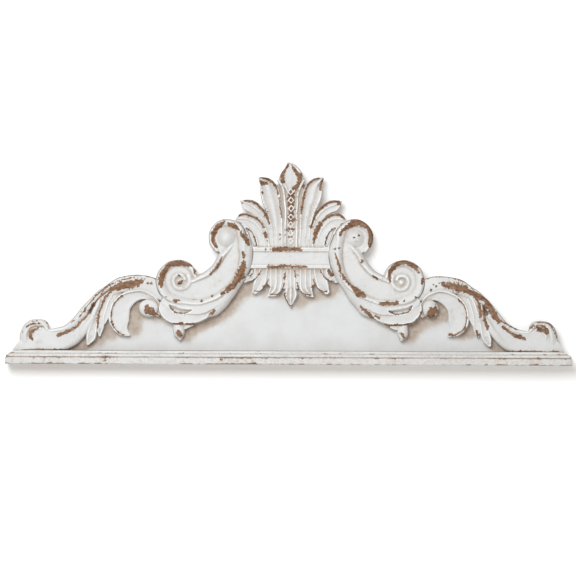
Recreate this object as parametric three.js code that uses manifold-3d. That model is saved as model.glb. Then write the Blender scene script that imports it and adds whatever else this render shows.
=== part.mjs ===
// Carved wall pediment: a ledge moulding with mitred ends carries a thin back board, and five carvings
// are laid on the board: a palmette crest, a pair of C-scrolls and a pair of acanthus end scrolls.
// Millimetres, X to the right, Z up, the wall is the plane Y = 0 and the face looks along -Y.
// The origin is the point of the board's back where the piece is fixed to the wall.
import * as THREE from 'three';
import Module from 'manifold-3d';

const wasm = await Module();
wasm.setup();

// Driving dimensions
const LEDGE_LENGTH = 1067;
const LEDGE_DEPTH = 45;
const FASCIA_HEIGHT = 12.4;
const CYMA_HEIGHT = 12.6;
const CYMA_SETBACK = 14;
const QUIRK_DEPTH = 2.4;
const BOARD_THICKNESS = 12;
const BOARD_INSET = 3.5;
const FOOT_SETBACK = 16;
const CARVING_HEIGHT = 356.5;
const CARVING_RELIEF = 27;
const CLEARANCE = 0.3;
const HANG_HEIGHT = 118;
const MIDDLE_SHIFT = 3.5;

const LEDGE_HEIGHT = FASCIA_HEIGHT + CYMA_HEIGHT;
const CARVING_BACK = BOARD_THICKNESS + CLEARANCE;

// The carvings are drawn on a sheet as shares of their own size. On the sheet x runs outward from the
// middle, z up from the ledge's underside and h out from the board. These are the sheet's own sizes.
const SHEET_HALF_SPAN = 517.5;
const SHEET_FOOT = 25;
const SHEET_HEIGHT = 356.5;
const SHEET_RELIEF = 27;
const SCALE_X = (LEDGE_LENGTH / 2 - FOOT_SETBACK) / SHEET_HALF_SPAN;
const SCALE_Z = CARVING_HEIGHT / SHEET_HEIGHT;
const SCALE_H = CARVING_RELIEF / SHEET_RELIEF;

// The crest and the C-scrolls sit a little to the right of the ledge's middle, and the hump of each end
// scroll takes that up between these places on the sheet
const SHIFT_WHOLE = 235;
const SHIFT_NONE = 285;
const STEEPEST = 1.5;
const NARROWEST = SCALE_X - STEEPEST * MIDDLE_SHIFT / (SHIFT_NONE - SHIFT_WHOLE);
const SHEET_CLEARANCE = CLEARANCE / Math.min(NARROWEST, SCALE_Z);
const SHEET_INSET = BOARD_INSET / Math.min(SCALE_X, SCALE_Z);
const THINNEST_HALF = 0.5;
const CUTTER = { base: -1, level: 2 * SHEET_RELIEF };

// Cross-sections of the carved bands: [place across the band, share of the band's height]
const FLAT = [[1, 1], [-1, 1]];
const ROUND = [[1, 0.55], [0.6, 0.9], [0, 1], [-0.6, 0.9], [-1, 0.55]];
const RIM = [[1, 0.58], [0.5, 0.86], [-0.25, 1], [-0.75, 0.84], [-1, 0.5]];
const CHANNEL = [[1, 0.7], [0.78, 1], [0, 0.68], [-0.78, 1], [-1, 0.7]];
const SCOOP = [[1, 0.7], [0.8, 1], [0.4, 0.72], [-0.4, 0.72], [-0.8, 1], [-1, 0.7]];
const RIBS = [[1, 0.6], [0.7, 0.95], [0.38, 0.66], [0, 1], [-0.38, 0.66], [-0.7, 0.95], [-1, 0.6]];
const FLUTES = [[1, 0.7], [0.84, 0.99], [0.46, 0.7], [0, 0.92], [-0.5, 0.7], [-0.87, 0.99], [-1, 0.72]];
const PETAL = [[1, 0.75], [0.86, 1], [0.55, 0.78], [-1, 0.62]];
const COVE = [[1, 0.98], [0.3, 0.9], [-0.5, 0.82], [-0.86, 0.98], [-1, 0.68]];
const FLANK = [[1, 1], [-0.2, 0.88], [-1, 0.5]];
const BLADE = [[1, 0.75], [0.88, 1], [0.6, 0.7], [-1, 0.52]];
const CROWN = [[1, 0.66], [0.84, 0.86], [0, 1], [-0.86, 0.84], [-1, 0.66]];

// Shapes of round bosses: the share of the height that their straight side has, and the dome above it as
// [share of the radius, share of the rest of the height]
const BALL = { spring: 0.45, dome: [[0.82, 0.57], [0.31, 0.95]] };
const MOUND = { spring: 0.66, dome: [[0.75, 0.37], [0.35, 0.86]] };
const DISC = { spring: 1, dome: [] };

const mirrored = (rows) => rows.map(([x, ...rest]) => [-x, ...rest]);
const turned = (section) => section.map(([across, share]) => [-across, share]).reverse();
const band = (section, rows, steps = 1) => ({ section, rows, steps });
const boss = (x, z, radius, height, shape = BALL) => ({ x, z, radius, height, shape });

// Rows [x, z, half width, height] round an arc or a spiral, each pair of values from its start to its end
function sweep([x, z], radius, angle, width, height, count) {
  return Array.from({ length: count + 1 }, (_, i) => {
    const at = ([from, to]) => THREE.MathUtils.lerp(from, to, i / count);
    const turn = THREE.MathUtils.degToRad(at(angle));
    return [x + at(radius) * Math.cos(turn), z + at(radius) * Math.sin(turn), at(width), at(height)];
  });
}

// From the sheet to the carving's and to the board's own millimetres
const lift = (z) => LEDGE_HEIGHT + (z - SHEET_FOOT) * SCALE_Z;
function place(x) {
  const share = THREE.MathUtils.smoothstep(-Math.abs(x), -SHIFT_NONE, -SHIFT_WHOLE);
  return x * SCALE_X + MIDDLE_SHIFT * share;
}
const onCarving = (x, z, h) => [place(x), -CARVING_BACK - h * SCALE_H, lift(z)];
const onBoard = (x, z, h) => [place(x), -h, lift(z)];

const join = (solids) => solids.reduce((whole, solid) => whole.add(solid));

// A closed solid through rings of points, all of one length. ends gives the first and the last ring as
// flat outlines, for their caps.
function skin(rings, ends) {
  const size = rings[0].length;
  const last = (rings.length - 1) * size;
  const triangles = [];
  for (let start = 0; start < last; start += size) {
    for (let j = 0; j < size; j += 1) {
      const here = start + j;
      const next = start + (j + 1) % size;
      triangles.push(here, next, here + size, next, next + size, here + size);
    }
  }
  const [first, final] = ends.map((outline) => {
    return THREE.ShapeUtils.triangulateShape(outline.map((point) => new THREE.Vector2(...point)), []);
  });
  first.forEach(([a, b, c]) => triangles.push(c, b, a));
  final.forEach(([a, b, c]) => triangles.push(last + a, last + b, last + c));
  const vertProperties = new Float32Array(rings.flat(2));
  const mesh = new wasm.Mesh({ numProp: 3, vertProperties, triVerts: new Uint32Array(triangles) });
  return new wasm.Manifold(mesh);
}

// An upright solid over an outline [x, z] that runs anticlockwise on the sheet
function prism(outline, base, top, put) {
  const rings = [base, top].map((h) => outline.map(([x, z]) => put(x, z, h)));
  return skin(rings, [outline, outline]);
}

// One carved band on one side of the middle, with its ends cut square. grow widens and lengthens it.
function bandSolid({ section, rows, steps }, side, { grow = 0, base = 0, level, put = onCarving }) {
  const path = new THREE.SplineCurve(rows.map(([x, z]) => new THREE.Vector2(side * x, z)));
  const form = new THREE.SplineCurve(rows.map((row) => new THREE.Vector2(row[2], row[3])));
  const face = side > 0 ? section : turned(section);
  const count = (rows.length - 1) * steps;
  const cuts = Array.from({ length: count + 1 }, (_, i) => {
    const along = path.getTangent(i / count);
    const longer = Math.max(grow, 0) * ((i === count) - (i === 0));
    const middle = path.getPoint(i / count).addScaledVector(along, longer);
    const { x: width, y: height } = form.getPoint(i / count);
    const half = Math.max(width + grow, THINNEST_HALF);
    const top = face.map(([across, share]) => [across, level ?? height * share]);
    const profile = [[1, base], ...top, [-1, base]];
    const ring = profile.map(([across, h]) => put(middle.x - along.y * across * half,
      middle.y + along.x * across * half, h));
    return { profile, ring };
  });
  return skin(cuts.map(({ ring }) => ring), [cuts[0].profile, cuts.at(-1).profile]);
}

// A round boss: a straight side, then its dome, if it has one
const BOSS_SIDES = 12;
function bossSolid({ x, z, radius, height, shape }, side, { grow = 0, base = 0, level, put = onCarving }) {
  const edge = radius + grow;
  const dome = shape.dome.map(([reach, rise]) => {
    return [edge * reach, height * THREE.MathUtils.lerp(shape.spring, 1, rise)];
  });
  const upper = level === undefined ? [[edge, height * shape.spring], ...dome] : [[edge, level]];
  const circles = [[edge, base], ...upper].map(([reach, h]) => Array.from({ length: BOSS_SIDES }, (_, i) => {
    const turn = (2 * Math.PI * i) / BOSS_SIDES;
    return [side * x + reach * Math.cos(turn), z + reach * Math.sin(turn), h];
  }));
  const ends = [circles[0], circles.at(-1)].map((circle) => circle.map(([across, up]) => [across, up]));
  return skin(circles.map((circle) => circle.map((point) => put(...point))), ends);
}

function carve(forms, side, options = {}) {
  return join(forms.map((form) => (form.rows ? bandSolid : bossSolid)(form, side, options)));
}

// Cuts sunk recesses with flat floors: forms whose height is the floor
function sink(solid, recesses, side) {
  return recesses.reduce((whole, form) => {
    return whole.subtract(bandSolid(form, side, { base: form.floor, level: CUTTER.level }));
  }, solid);
}

// C-scroll: a sunk field between a broad outer rim and a narrow inner one, a volute at each end, a lower
// leaf with a crescent slot, and a small bud
const TOP_EYE = [121, 237.5];
const LOW_EYE = [208.5, 157];
const scrollRim = [
  ...sweep(TOP_EYE, [29, 28.5], [-50, 170], [5, 9.3], [22, 27], 6),
  [90, 219, 9, 27], [90.5, 195, 7.8, 27], [97, 169, 7.8, 27], [109, 149, 7.3, 27], [128, 134.5, 6.3, 26],
  [150, 122.5, 5.8, 25], [172, 115.5, 6.2, 25], [195, 116.5, 7.2, 25],
  ...sweep(LOW_EYE, [36.5, 36], [-78, 0], [9.6, 9.3], [25, 26], 3),
  ...sweep(LOW_EYE, [35.5, 29], [30, 165], [8.8, 4.5], [26, 25], 4),
];
const scrollField = [[222, 129, 5, 18], [203, 129, 9, 18.5], [185, 136, 15, 18.5], [165, 141, 19.5, 18.5],
  [145, 151, 20, 18.3], [127, 168, 20, 18], [115, 189, 19, 18], [109, 210, 15, 18], [103, 230, 8, 18]];
const scrollWeb = [[235, 118, 9, 19], [200, 108, 13, 20.5], [165, 109, 13, 21], [138, 120, 8, 20]];
const scrollFlank = [[85.5, 241, 5, 23.5], [80.5, 221, 7.5, 25], [79.4, 198, 7.5, 25.5],
  [87.5, 176, 8, 25.5], [102.8, 148, 8, 24.5], [121.4, 122, 8, 21.5], [140, 100, 7, 18.5], [155, 90, 4, 17]];
const scrollNeck = [[187, 156, 4, 23], [172, 163, 5.6, 24], [157.5, 170, 6.2, 25], [145, 180.5, 6.6, 25],
  [135.5, 194.5, 7, 25], [129, 207, 6.6, 24.5], [119, 217.5, 5.4, 22.5], [110, 226, 3, 20]];
const scrollLeaf = [[112, 141, 1.5, 22], [131, 121, 5, 20.5], [142, 111.5, 7.8, 20], [155, 102, 12, 20],
  [172, 95.5, 15.5, 20], [190, 92, 17, 20], [208, 91.5, 16.5, 20], [225, 93.5, 15.5, 20],
  [238, 102, 10.5, 20], [242, 114, 5, 19]];
const scrollForms = [
  band(FLAT, scrollField),
  band(FLANK, scrollFlank),
  band(FLAT, scrollWeb),
  boss(...TOP_EYE, 30, 18, DISC),
  boss(...LOW_EYE, 36, 18.5, DISC),
  band(COVE, scrollLeaf),
  band(RIM, scrollRim),
  band(ROUND, sweep(LOW_EYE, [18.5, 9], [150, 520], [6.2, 4.6], [22.5, 24.5], 10)),
  boss(208.5, 155.5, 7.5, 25, MOUND),
  band(turned(RIM), scrollNeck),
  boss(121.5, 238, 15.5, 28.5, MOUND),
  band(ROUND, [[212, 84, 8.5, 14], [212, 71, 10, 17], [211.5, 60, 10.8, 19], [210.5, 52.5, 8.2, 18],
    [210, 48, 4, 15]]),
  band(FLAT, [[210, 70, 7, 12], [196, 73, 6, 12], [180, 79, 4, 12]]),
];
const scrollSlots = [{ floor: 13, ...band(FLAT, [[187, 101.5, 1.4, 0], [196, 99.8, 3.6, 0],
  [207, 99.8, 4.8, 0], [218, 103.3, 5, 0], [227.5, 110.5, 1.6, 0]]) }];

// End scroll: an acanthus wave that falls from the C-scroll to the ledge, with leaves and a berry below
// its hump and a curled end
const endForms = [
  band(FLAT, [[515, 25, 6, 12.5], [498, 34, 15, 13], [478, 46, 23.5, 13], [452, 45, 19.5, 13],
    [430, 47.5, 19.5, 13], [407, 60, 16, 14], [384, 90, 9, 14]]),
  band(CROWN, [[238, 133, 16, 16], [257, 144, 17, 17.5], [280, 151.6, 15.4, 19.5], [305, 150.8, 14.6, 19.5],
    [325, 145, 13.4, 18], [340, 136, 10.4, 16], [351, 123.5, 6.4, 14]]),
  band(ROUND, [[453, 61.5, 2.5, 14], [436, 63, 4.2, 15], [420, 67, 5.6, 16], [406, 76.2, 6.8, 17],
    [393, 90.5, 7.6, 18], [380.5, 106, 7.8, 18], [367.5, 120.8, 6.8, 18], [354.5, 135, 5.4, 18],
    [338, 147, 4.6, 18]]),
  band(FLAT, [[324, 130, 7, 12], [348, 108, 15, 13], [360, 84, 16, 13], [371, 62, 9, 13]]),
  band(ROUND, [[432, 30, 8, 13], [415, 37, 9, 14], [400.5, 47.5, 9, 16], [388, 61, 8.2, 17],
    [377.5, 77, 7, 18], [368.5, 94, 6, 18], [362, 110, 5, 18], [357, 125, 3.5, 17]]),
  band(CHANNEL, [[334, 134, 3, 16], [344, 119, 5.6, 17], [351, 101, 6.2, 17], [354.5, 83, 6.6, 16.5],
    [355.5, 67, 6.4, 15], [356.5, 54, 2.5, 13]]),
  band(CHANNEL, [[364, 86, 3.5, 16], [368, 72, 7.2, 17], [371.5, 58, 9.4, 17], [375, 47, 8.4, 15.5],
    [378.5, 38, 3.6, 13]]),
  band(BLADE, [[250, 95, 5.5, 14], [252, 112, 6, 16], [263, 125, 6, 18], [280, 130, 9.3, 18],
    [299, 124.5, 14, 18], [315, 110.5, 18, 17], [321, 93, 19.5, 16], [320, 76, 18, 15],
    [313, 62.5, 10.5, 14], [301, 54, 1.5, 13]]),
  boss(266, 105, 16.8, 21),
  band(RIM, [[456, 65, 3.2, 16], [463, 74.5, 6.2, 18], [478, 76.5, 7, 19], [492, 70.5, 7.5, 19],
    [499, 57, 7.6, 18], [500, 45, 8, 15.5], [500.5, 36, 6, 13]]),
  band(ROUND, [[468, 66, 2, 15], [479, 64.5, 4.2, 16], [485.5, 56, 5, 16], [484.5, 45, 2.2, 13.2]]),
];

// Crest: a cross band with a palmette above it and a fringe of leaves below, a beaded stem up the middle
// and a bud at the top
const BAND_HALF = 90;
const BAND_FIELD = [181, 221, 12];
const BAND_FILLETS = [[212.5, 221, 16.5], [181, 188, 16]];
const BEAD_COUNT = 7;
const BEAD_PITCH = 15.5;
const BEAD = { z: 232, across: 6.6, up: 7.6, edge: 10, top: 14 };
const lowPetal = band(PETAL, [[50, 213, 12, 13], [52, 232, 12, 14], [57, 249, 12, 15], [67, 263.5, 12.6, 16],
  [80, 272, 12.8, 17], [93, 274, 10, 17], [104, 271.5, 2, 17]]);
const midPetal = band(PETAL, [[37, 213, 5, 12], [38.5, 244, 5.2, 13], [45, 265, 6.6, 15], [57, 284, 9.8, 16],
  [71, 295.8, 11.7, 17], [83, 300.8, 10.8, 18], [95, 307.5, 1.8, 18]]);
const highPetal = band(FLUTES, [[25, 213, 10, 12], [26.2, 248, 10.6, 13.5], [30.5, 283, 14.3, 16],
  [36, 306, 17.6, 17], [40.5, 325, 18, 18], [48, 341, 12.5, 19], [61, 352, 1.5, 19]]);
const webLeaf = band(FLAT, [[72, 227, 11, 13], [77, 240, 11, 13.5], [89, 257, 8, 14]]);
const webHeight = 10.8;
const webEdge = [[0, 144], [24, 142], [44, 150], [60, 152], [76, 166], [86, 178], [86, 225], [92, 258],
  [67, 277], [47, 289], [22, 334]];
const crestForms = [
  webLeaf,
  lowPetal,
  midPetal,
  highPetal,
  band(ROUND, [[10.6, 213, 2.8, 14.5], [10.6, 260, 2.8, 15], [11, 295, 2.8, 16], [13, 320, 2.8, 17],
    [17.5, 336, 2.8, 18], [25, 347.5, 1.8, 17]]),
  band(PETAL, [[62, 187, 5, 12], [68.5, 171, 6.6, 14], [77, 163, 6.6, 14], [87, 158, 4, 13]]),
  band(CHANNEL, [[50, 190, 8, 12], [53, 168, 9.8, 14], [58, 154, 12, 15.5], [63, 144.5, 10.5, 15.5],
    [68, 137.5, 5.5, 14]]),
  band(RIBS, [[28, 190, 13, 12], [28, 163, 13, 14], [28.5, 149, 13.2, 15], [32, 138.5, 11.5, 15],
    [42, 129, 1.8, 14]]),
];
const crestBud = band(SCOOP, [[0, 322, 6, 15], [0, 333, 13, 17], [0, 345, 22.5, 19], [0, 356, 22.5, 20],
  [-1, 366, 17, 20], [-3, 374, 9.5, 20], [-7, 381.5, 1, 20]]);
const crestMiddle = [
  crestBud,
  band(RIBS, [[0, 190, 11, 12], [0, 160, 10.3, 14], [0, 144, 10.6, 15], [0, 131.5, 13.5, 16],
    [0, 119, 7.6, 16], [0, 107, 0.8, 15]]),
];
const crestSlots = [
  { floor: 8, ...band(FLAT, [[67.5, 225, 3, 0], [71.8, 238, 3.7, 0], [77, 249, 3, 0],
    [84, 256.5, 1.5, 0]]) },
  { floor: 8, ...band(FLAT, [[71, 177.5, 2, 0], [75, 172.5, 4, 0], [79, 168.5, 2.4, 0]]) },
];

const block = (left, right, low, high, base, top, put = onCarving) => {
  return prism([[left, low], [right, low], [right, high], [left, high]], base, top, put);
};

const cutterFor = (side) => carve(scrollForms, side, { ...CUTTER, grow: SHEET_CLEARANCE });

function cScroll(side) {
  return sink(carve(scrollForms, side), scrollSlots, side);
}

function endScroll(side) {
  const reach = 2 * SHEET_HALF_SPAN;
  const top = SHEET_FOOT + CLEARANCE / SCALE_Z;
  const below = block(-reach, reach, -SHEET_FOOT, top, CUTTER.base, CUTTER.level);
  return carve(endForms, side).subtract(cutterFor(side)).subtract(below);
}

function crest() {
  const bars = [BAND_FIELD, ...BAND_FILLETS];
  const beads = Array.from({ length: BEAD_COUNT }, (_, i) => {
    const z = BEAD.z + i * BEAD_PITCH;
    const corners = (share) => [[BEAD.across, 0], [0, BEAD.up], [-BEAD.across, 0], [0, -BEAD.up]].map(
      ([x, up]) => [x * share, z + up * share]);
    const [wide, small] = [corners(1), corners(0.25)];
    const rings = [[wide, 0], [wide, BEAD.edge], [small, BEAD.top]].map(([outline, h]) => {
      return outline.map(([x, up]) => onCarving(x, up, h));
    });
    return skin(rings, [wide, small]);
  });
  let solid = join([
    ...bars.map(([low, high, top]) => block(-BAND_HALF, BAND_HALF, low, high, 0, top)),
    prism([...webEdge, ...mirrored(webEdge.slice(1)).reverse()], 0, webHeight, onCarving),
    carve(crestForms, 1),
    carve(crestForms, -1),
    carve(crestMiddle, 1),
    ...beads,
  ]);
  for (const side of [1, -1]) {
    solid = sink(solid, crestSlots, side).subtract(cutterFor(side));
  }
  return solid;
}

// Back board: a field that fills the arch up to the middle of the carvings, and a backing behind each
// carving's outer edge, set in from it
const fieldEdge = [[500, 25], [470, 42], [440, 50], [407, 65], [383, 95], [360, 127], [325, 150], [286, 155],
  [255, 150], [225, 162], [196, 150], [165, 146], [142, 164], [124, 194], [112, 222], [92, 252], [80, 268],
  [62, 268], [64, 290], [46, 292], [44, 325], [37, 336], [19, 342]];
const [endFoot, endHump, endSlope] = endForms;
const endCurl = endForms.find(({ section }) => section === RIM);
const backedForms = [
  boss(TOP_EYE[0], TOP_EYE[1], 36, 0),
  boss(LOW_EYE[0] + 5.5, LOW_EYE[1] - 4, 40, 0),
  boss(480, 58, 20, 0),
  ...[band(FLAT, scrollNeck), endFoot, endHump, endSlope, endCurl],
];

// The same form as a flat one, without the tips that the inset would leave thinner than a saw cut
const flattened = (form) => {
  const rows = form.rows?.filter(([, , width]) => width > SHEET_INSET + 1);
  return { ...form, rows, section: FLAT };
};

function backBoard() {
  const slab = { base: 0, level: BOARD_THICKNESS, put: onBoard, grow: -SHEET_INSET };
  const bottom = SHEET_FOOT + CLEARANCE / SCALE_Z;
  const outline = [...fieldEdge, ...mirrored(fieldEdge).reverse()];
  const reach = 2 * SHEET_HALF_SPAN;
  const below = block(-reach, reach, -SHEET_FOOT, bottom, -1, BOARD_THICKNESS + 1, onBoard);
  return join([
    prism(outline, 0, BOARD_THICKNESS, onBoard),
    ...[1, -1].map((side) => carve(backedForms.map(flattened), side, slab)),
    carve([crestBud].map(flattened), 1, slab),
  ]).subtract(below);
}

// Ledge moulding: levels [set in from the fascia, height], the same at the front and at both ends
function ledge() {
  const cyma = (setback, up) => [CYMA_SETBACK * setback, FASCIA_HEIGHT + CYMA_HEIGHT * up];
  const levels = [
    [0.8, 0], [0, 0.8], [0, FASCIA_HEIGHT - 0.6], [0.6, FASCIA_HEIGHT],
    [QUIRK_DEPTH, FASCIA_HEIGHT], [QUIRK_DEPTH, FASCIA_HEIGHT + 1],
    cyma(0.1, 0.14), cyma(0.1, 0.25), cyma(0.22, 0.42), cyma(0.42, 0.53), cyma(0.58, 0.6),
    cyma(0.6, 0.68), cyma(0.72, 0.8), cyma(0.88, 0.93), cyma(1, 1),
  ];
  const outlines = levels.map(([setback]) => {
    const half = LEDGE_LENGTH / 2 - setback;
    return [[half, 0], [-half, 0], [-half, setback - LEDGE_DEPTH], [half, setback - LEDGE_DEPTH]];
  });
  const rings = outlines.map((outline, i) => outline.map(([x, y]) => [x, y, levels[i][1]]));
  return skin(rings, [outlines[0], outlines.at(-1)]);
}

const paint = { color: 0xe4e1dc, roughness: 0.62, metalness: 0 };
const pieces = {
  back_board: backBoard(),
  ledge_moulding: ledge(),
  crest: crest(),
  left_scroll: cScroll(-1),
  right_scroll: cScroll(1),
  left_end_scroll: endScroll(-1),
  right_end_scroll: endScroll(1),
};

const group = new THREE.Group();
group.position.z = -HANG_HEIGHT;
for (const [name, solid] of Object.entries(pieces)) {
  const { vertProperties, triVerts, numProp } = solid.getMesh();
  const geometry = new THREE.BufferGeometry();
  const corners = new THREE.InterleavedBuffer(vertProperties, numProp);
  geometry.setAttribute('position', new THREE.InterleavedBufferAttribute(corners, 3, 0));
  geometry.setIndex(new THREE.BufferAttribute(triVerts, 1));
  const mesh = new THREE.Mesh(geometry, new THREE.MeshStandardMaterial(paint));
  mesh.name = name;
  group.add(mesh);
}

export default group;
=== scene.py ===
import math

import bpy
import numpy as np
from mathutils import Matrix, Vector
from mathutils.geometry import tessellate_polygon


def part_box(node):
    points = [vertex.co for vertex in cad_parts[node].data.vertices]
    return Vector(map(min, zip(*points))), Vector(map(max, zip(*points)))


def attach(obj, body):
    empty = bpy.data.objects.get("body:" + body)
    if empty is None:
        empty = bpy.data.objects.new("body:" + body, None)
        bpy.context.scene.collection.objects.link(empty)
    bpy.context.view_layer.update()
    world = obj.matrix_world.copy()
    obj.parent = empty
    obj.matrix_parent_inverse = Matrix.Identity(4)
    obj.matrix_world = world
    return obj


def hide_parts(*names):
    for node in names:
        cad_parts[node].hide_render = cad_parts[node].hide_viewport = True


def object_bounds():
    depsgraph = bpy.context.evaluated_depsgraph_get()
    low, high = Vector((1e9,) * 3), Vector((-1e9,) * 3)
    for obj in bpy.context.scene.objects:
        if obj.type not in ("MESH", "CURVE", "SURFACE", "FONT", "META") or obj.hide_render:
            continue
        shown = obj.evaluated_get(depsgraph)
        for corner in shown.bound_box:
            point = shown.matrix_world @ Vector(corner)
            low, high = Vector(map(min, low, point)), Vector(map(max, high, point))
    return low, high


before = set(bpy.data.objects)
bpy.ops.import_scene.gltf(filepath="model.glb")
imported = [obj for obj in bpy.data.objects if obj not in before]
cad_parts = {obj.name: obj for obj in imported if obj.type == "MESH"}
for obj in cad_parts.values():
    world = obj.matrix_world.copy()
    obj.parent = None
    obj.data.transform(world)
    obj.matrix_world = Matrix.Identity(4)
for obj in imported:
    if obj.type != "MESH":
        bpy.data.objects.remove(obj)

# The carved wall pediment's looks: five carvings, a board and a ledge, each a closed mesh made from a
# height map on a fine grid, with worn paint over brown wood. The wall is the plane y = 0. Places on the
# sheet are in millimetres: x out from the middle, z up from the ledge's underside, h out from the board.
cad_low, cad_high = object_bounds()
ledge_low, ledge_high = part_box("ledge_moulding")
board_low, board_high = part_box("back_board")
crest_low, crest_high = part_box("crest")

MM = 0.001
SHEET_FOOT = 25.0
CLEARANCE = (board_low.z - ledge_high.z) / MM
CARVING_BACK = -crest_high.y / MM
BOARD_THICKNESS = -board_low.y / MM
BOARD_INSET = 3.5
GRID = 0.55
BOARD_GRID = 2.0
OUTSIDE = -9.0
REACH = 6.0
MARGIN = 4.0
LEAST_HALF = 0.4
FILLET = 0.9
SEED = 11

# How far the chisel strays from the drawn lines, and over what length
WOBBLE = 0.45
WOBBLE_SCALE = 26

# The crest and the C-scrolls sit a little to the right of the ledge's middle
MIDDLE_SHIFT = 3.5
SHIFT_WHOLE = 235.0
SHIFT_NONE = 285.0

# Cross-sections of the carved bands, from left to right of travel: place across the band and share of its
# height
SECTIONS = {
    "flat": [(1, 1), (-1, 1)],
    "round": [(1, 0.5), (0.8, 0.8), (0.4, 0.96), (0, 1), (-0.4, 0.96), (-0.8, 0.8), (-1, 0.5)],
    "rim": [(1, 0.58), (0.85, 0.72), (0.5, 0.86), (0.1, 0.96), (-0.25, 1), (-0.55, 0.95), (-0.8, 0.78),
            (-1, 0.5)],
    "channel": [(1, 0.7), (0.78, 1), (0.5, 0.84), (0, 0.68), (-0.5, 0.84), (-0.78, 1), (-1, 0.7)],
    "scoop": [(1, 0.68), (0.86, 0.96), (0.72, 0.97), (0.5, 0.76), (0.2, 0.74), (0, 0.77), (-0.2, 0.74),
              (-0.5, 0.76), (-0.72, 0.97), (-0.86, 0.96), (-1, 0.68)],
    "flutes": [(1, 0.7), (0.9, 0.98), (0.76, 0.97), (0.56, 0.72), (0.36, 0.7), (0.1, 0.9), (-0.14, 0.92),
               (-0.4, 0.72), (-0.58, 0.72), (-0.8, 0.94), (-0.9, 1), (-1, 0.72)],
    "ribs": [(1, 0.58), (0.72, 0.96), (0.4, 0.64), (0.3, 0.66), (0, 1), (-0.3, 0.66), (-0.4, 0.64),
             (-0.72, 0.96), (-1, 0.58)],
    "petal": [(1, 0.74), (0.88, 1), (0.74, 0.94), (0.6, 0.74), (0.4, 0.72), (0.22, 0.86), (0.1, 0.86),
              (-0.1, 0.7), (-0.5, 0.68), (-0.86, 0.76), (-1, 0.6)],
    "cove": [(1, 0.98), (0.7, 0.96), (0.3, 0.9), (0, 0.86), (-0.5, 0.82), (-0.7, 0.85), (-0.86, 0.98),
             (-1, 0.68)],
    "flank": [(1, 1), (0.4, 0.97), (-0.2, 0.88), (-0.7, 0.7), (-1, 0.5)],
    "blade": [(1, 0.72), (0.92, 1), (0.82, 0.97), (0.68, 0.7), (0.3, 0.66), (-0.4, 0.6), (-0.88, 0.64),
              (-1, 0.5)],
    "crown": [(1, 0.66), (0.92, 0.82), (0.8, 0.84), (0.5, 0.93), (0, 1), (-0.5, 0.97), (-0.9, 0.82),
              (-1, 0.64)],
}
SECTIONS["rim_left"] = [(-across, share) for across, share in reversed(SECTIONS["rim"])]


def arc(centre, radius, angle, width, height, count):
    """Rows [x, z, half width, height] round an arc or a spiral, each pair from its start to its end"""
    rows = []
    for i in range(count + 1):
        share = i / count
        reach, turn, half, rise = (a + (b - a) * share for a, b in (radius, angle, width, height))
        turn = math.radians(turn)
        rows.append([centre[0] + reach * math.cos(turn), centre[1] + reach * math.sin(turn), half, rise])
    return rows


def band(section, rows):
    return {"section": section, "rows": rows}


def boss(x, z, radius, height, foot=0.45):
    """A dome that springs from a share of its height, flat where that share is 1"""
    return {"centre": (x, z), "radius": radius, "height": height, "foot": foot}


# C-scroll
TOP_EYE = (121, 237.5)
LOW_EYE = (208.5, 157)
SCROLL_RIM = [
    *arc(TOP_EYE, (29, 28.5), (-50, 170), (5, 9.3), (22, 27), 7), [90, 219, 9, 27], [90.5, 195, 7.8, 27],
    [97, 169, 7.8, 27], [109, 149, 7.3, 27], [128, 134.5, 6.3, 26], [150, 122.5, 5.8, 25],
    [172, 115.5, 6.2, 25], [195, 116.5, 7.2, 25],
    *arc(LOW_EYE, (36.5, 36), (-78, 0), (9.6, 9.3), (25, 26), 3),
    *arc(LOW_EYE, (35.5, 29), (30, 165), (8.8, 4.5), (26, 25), 5),
]
SCROLL_FIELD = [
    [222, 129, 5, 18], [203, 129, 9, 18.5], [185, 136, 15, 18.5], [165, 141, 19.5, 18.5],
    [145, 151, 20, 18.3], [127, 168, 20, 18], [115, 189, 19, 18], [109, 210, 15, 18], [103, 230, 8, 18],
]
SCROLL_WEB = [
    [235, 118, 9, 19], [200, 108, 13, 20.5], [165, 109, 13, 21], [138, 120, 8, 20],
]
SCROLL_FLANK = [
    [85.5, 241, 5, 23.5], [80.5, 221, 7.5, 25], [79.4, 198, 7.5, 25.5], [87.5, 176, 8, 25.5],
    [102.8, 148, 8, 24.5], [121.4, 122, 8, 21.5], [140, 100, 7, 18.5], [155, 90, 4, 17],
]
SCROLL_NECK = [
    [187, 156, 4, 23], [172, 163, 5.6, 24], [157.5, 170, 6.2, 25], [145, 180.5, 6.6, 25],
    [135.5, 194.5, 7, 25], [129, 207, 6.6, 24.5], [119, 217.5, 5.4, 22.5], [110, 226, 3, 20],
]
SCROLL_LEAF = [
    [112, 141, 1.5, 22], [131, 121, 5, 20.5], [142, 111.5, 7.8, 20], [155, 102, 12, 20],
    [172, 95.5, 15.5, 20], [190, 92, 17, 20], [208, 91.5, 16.5, 20], [225, 93.5, 15.5, 20],
    [238, 102, 10.5, 20], [242, 114, 5, 19],
]
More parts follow.
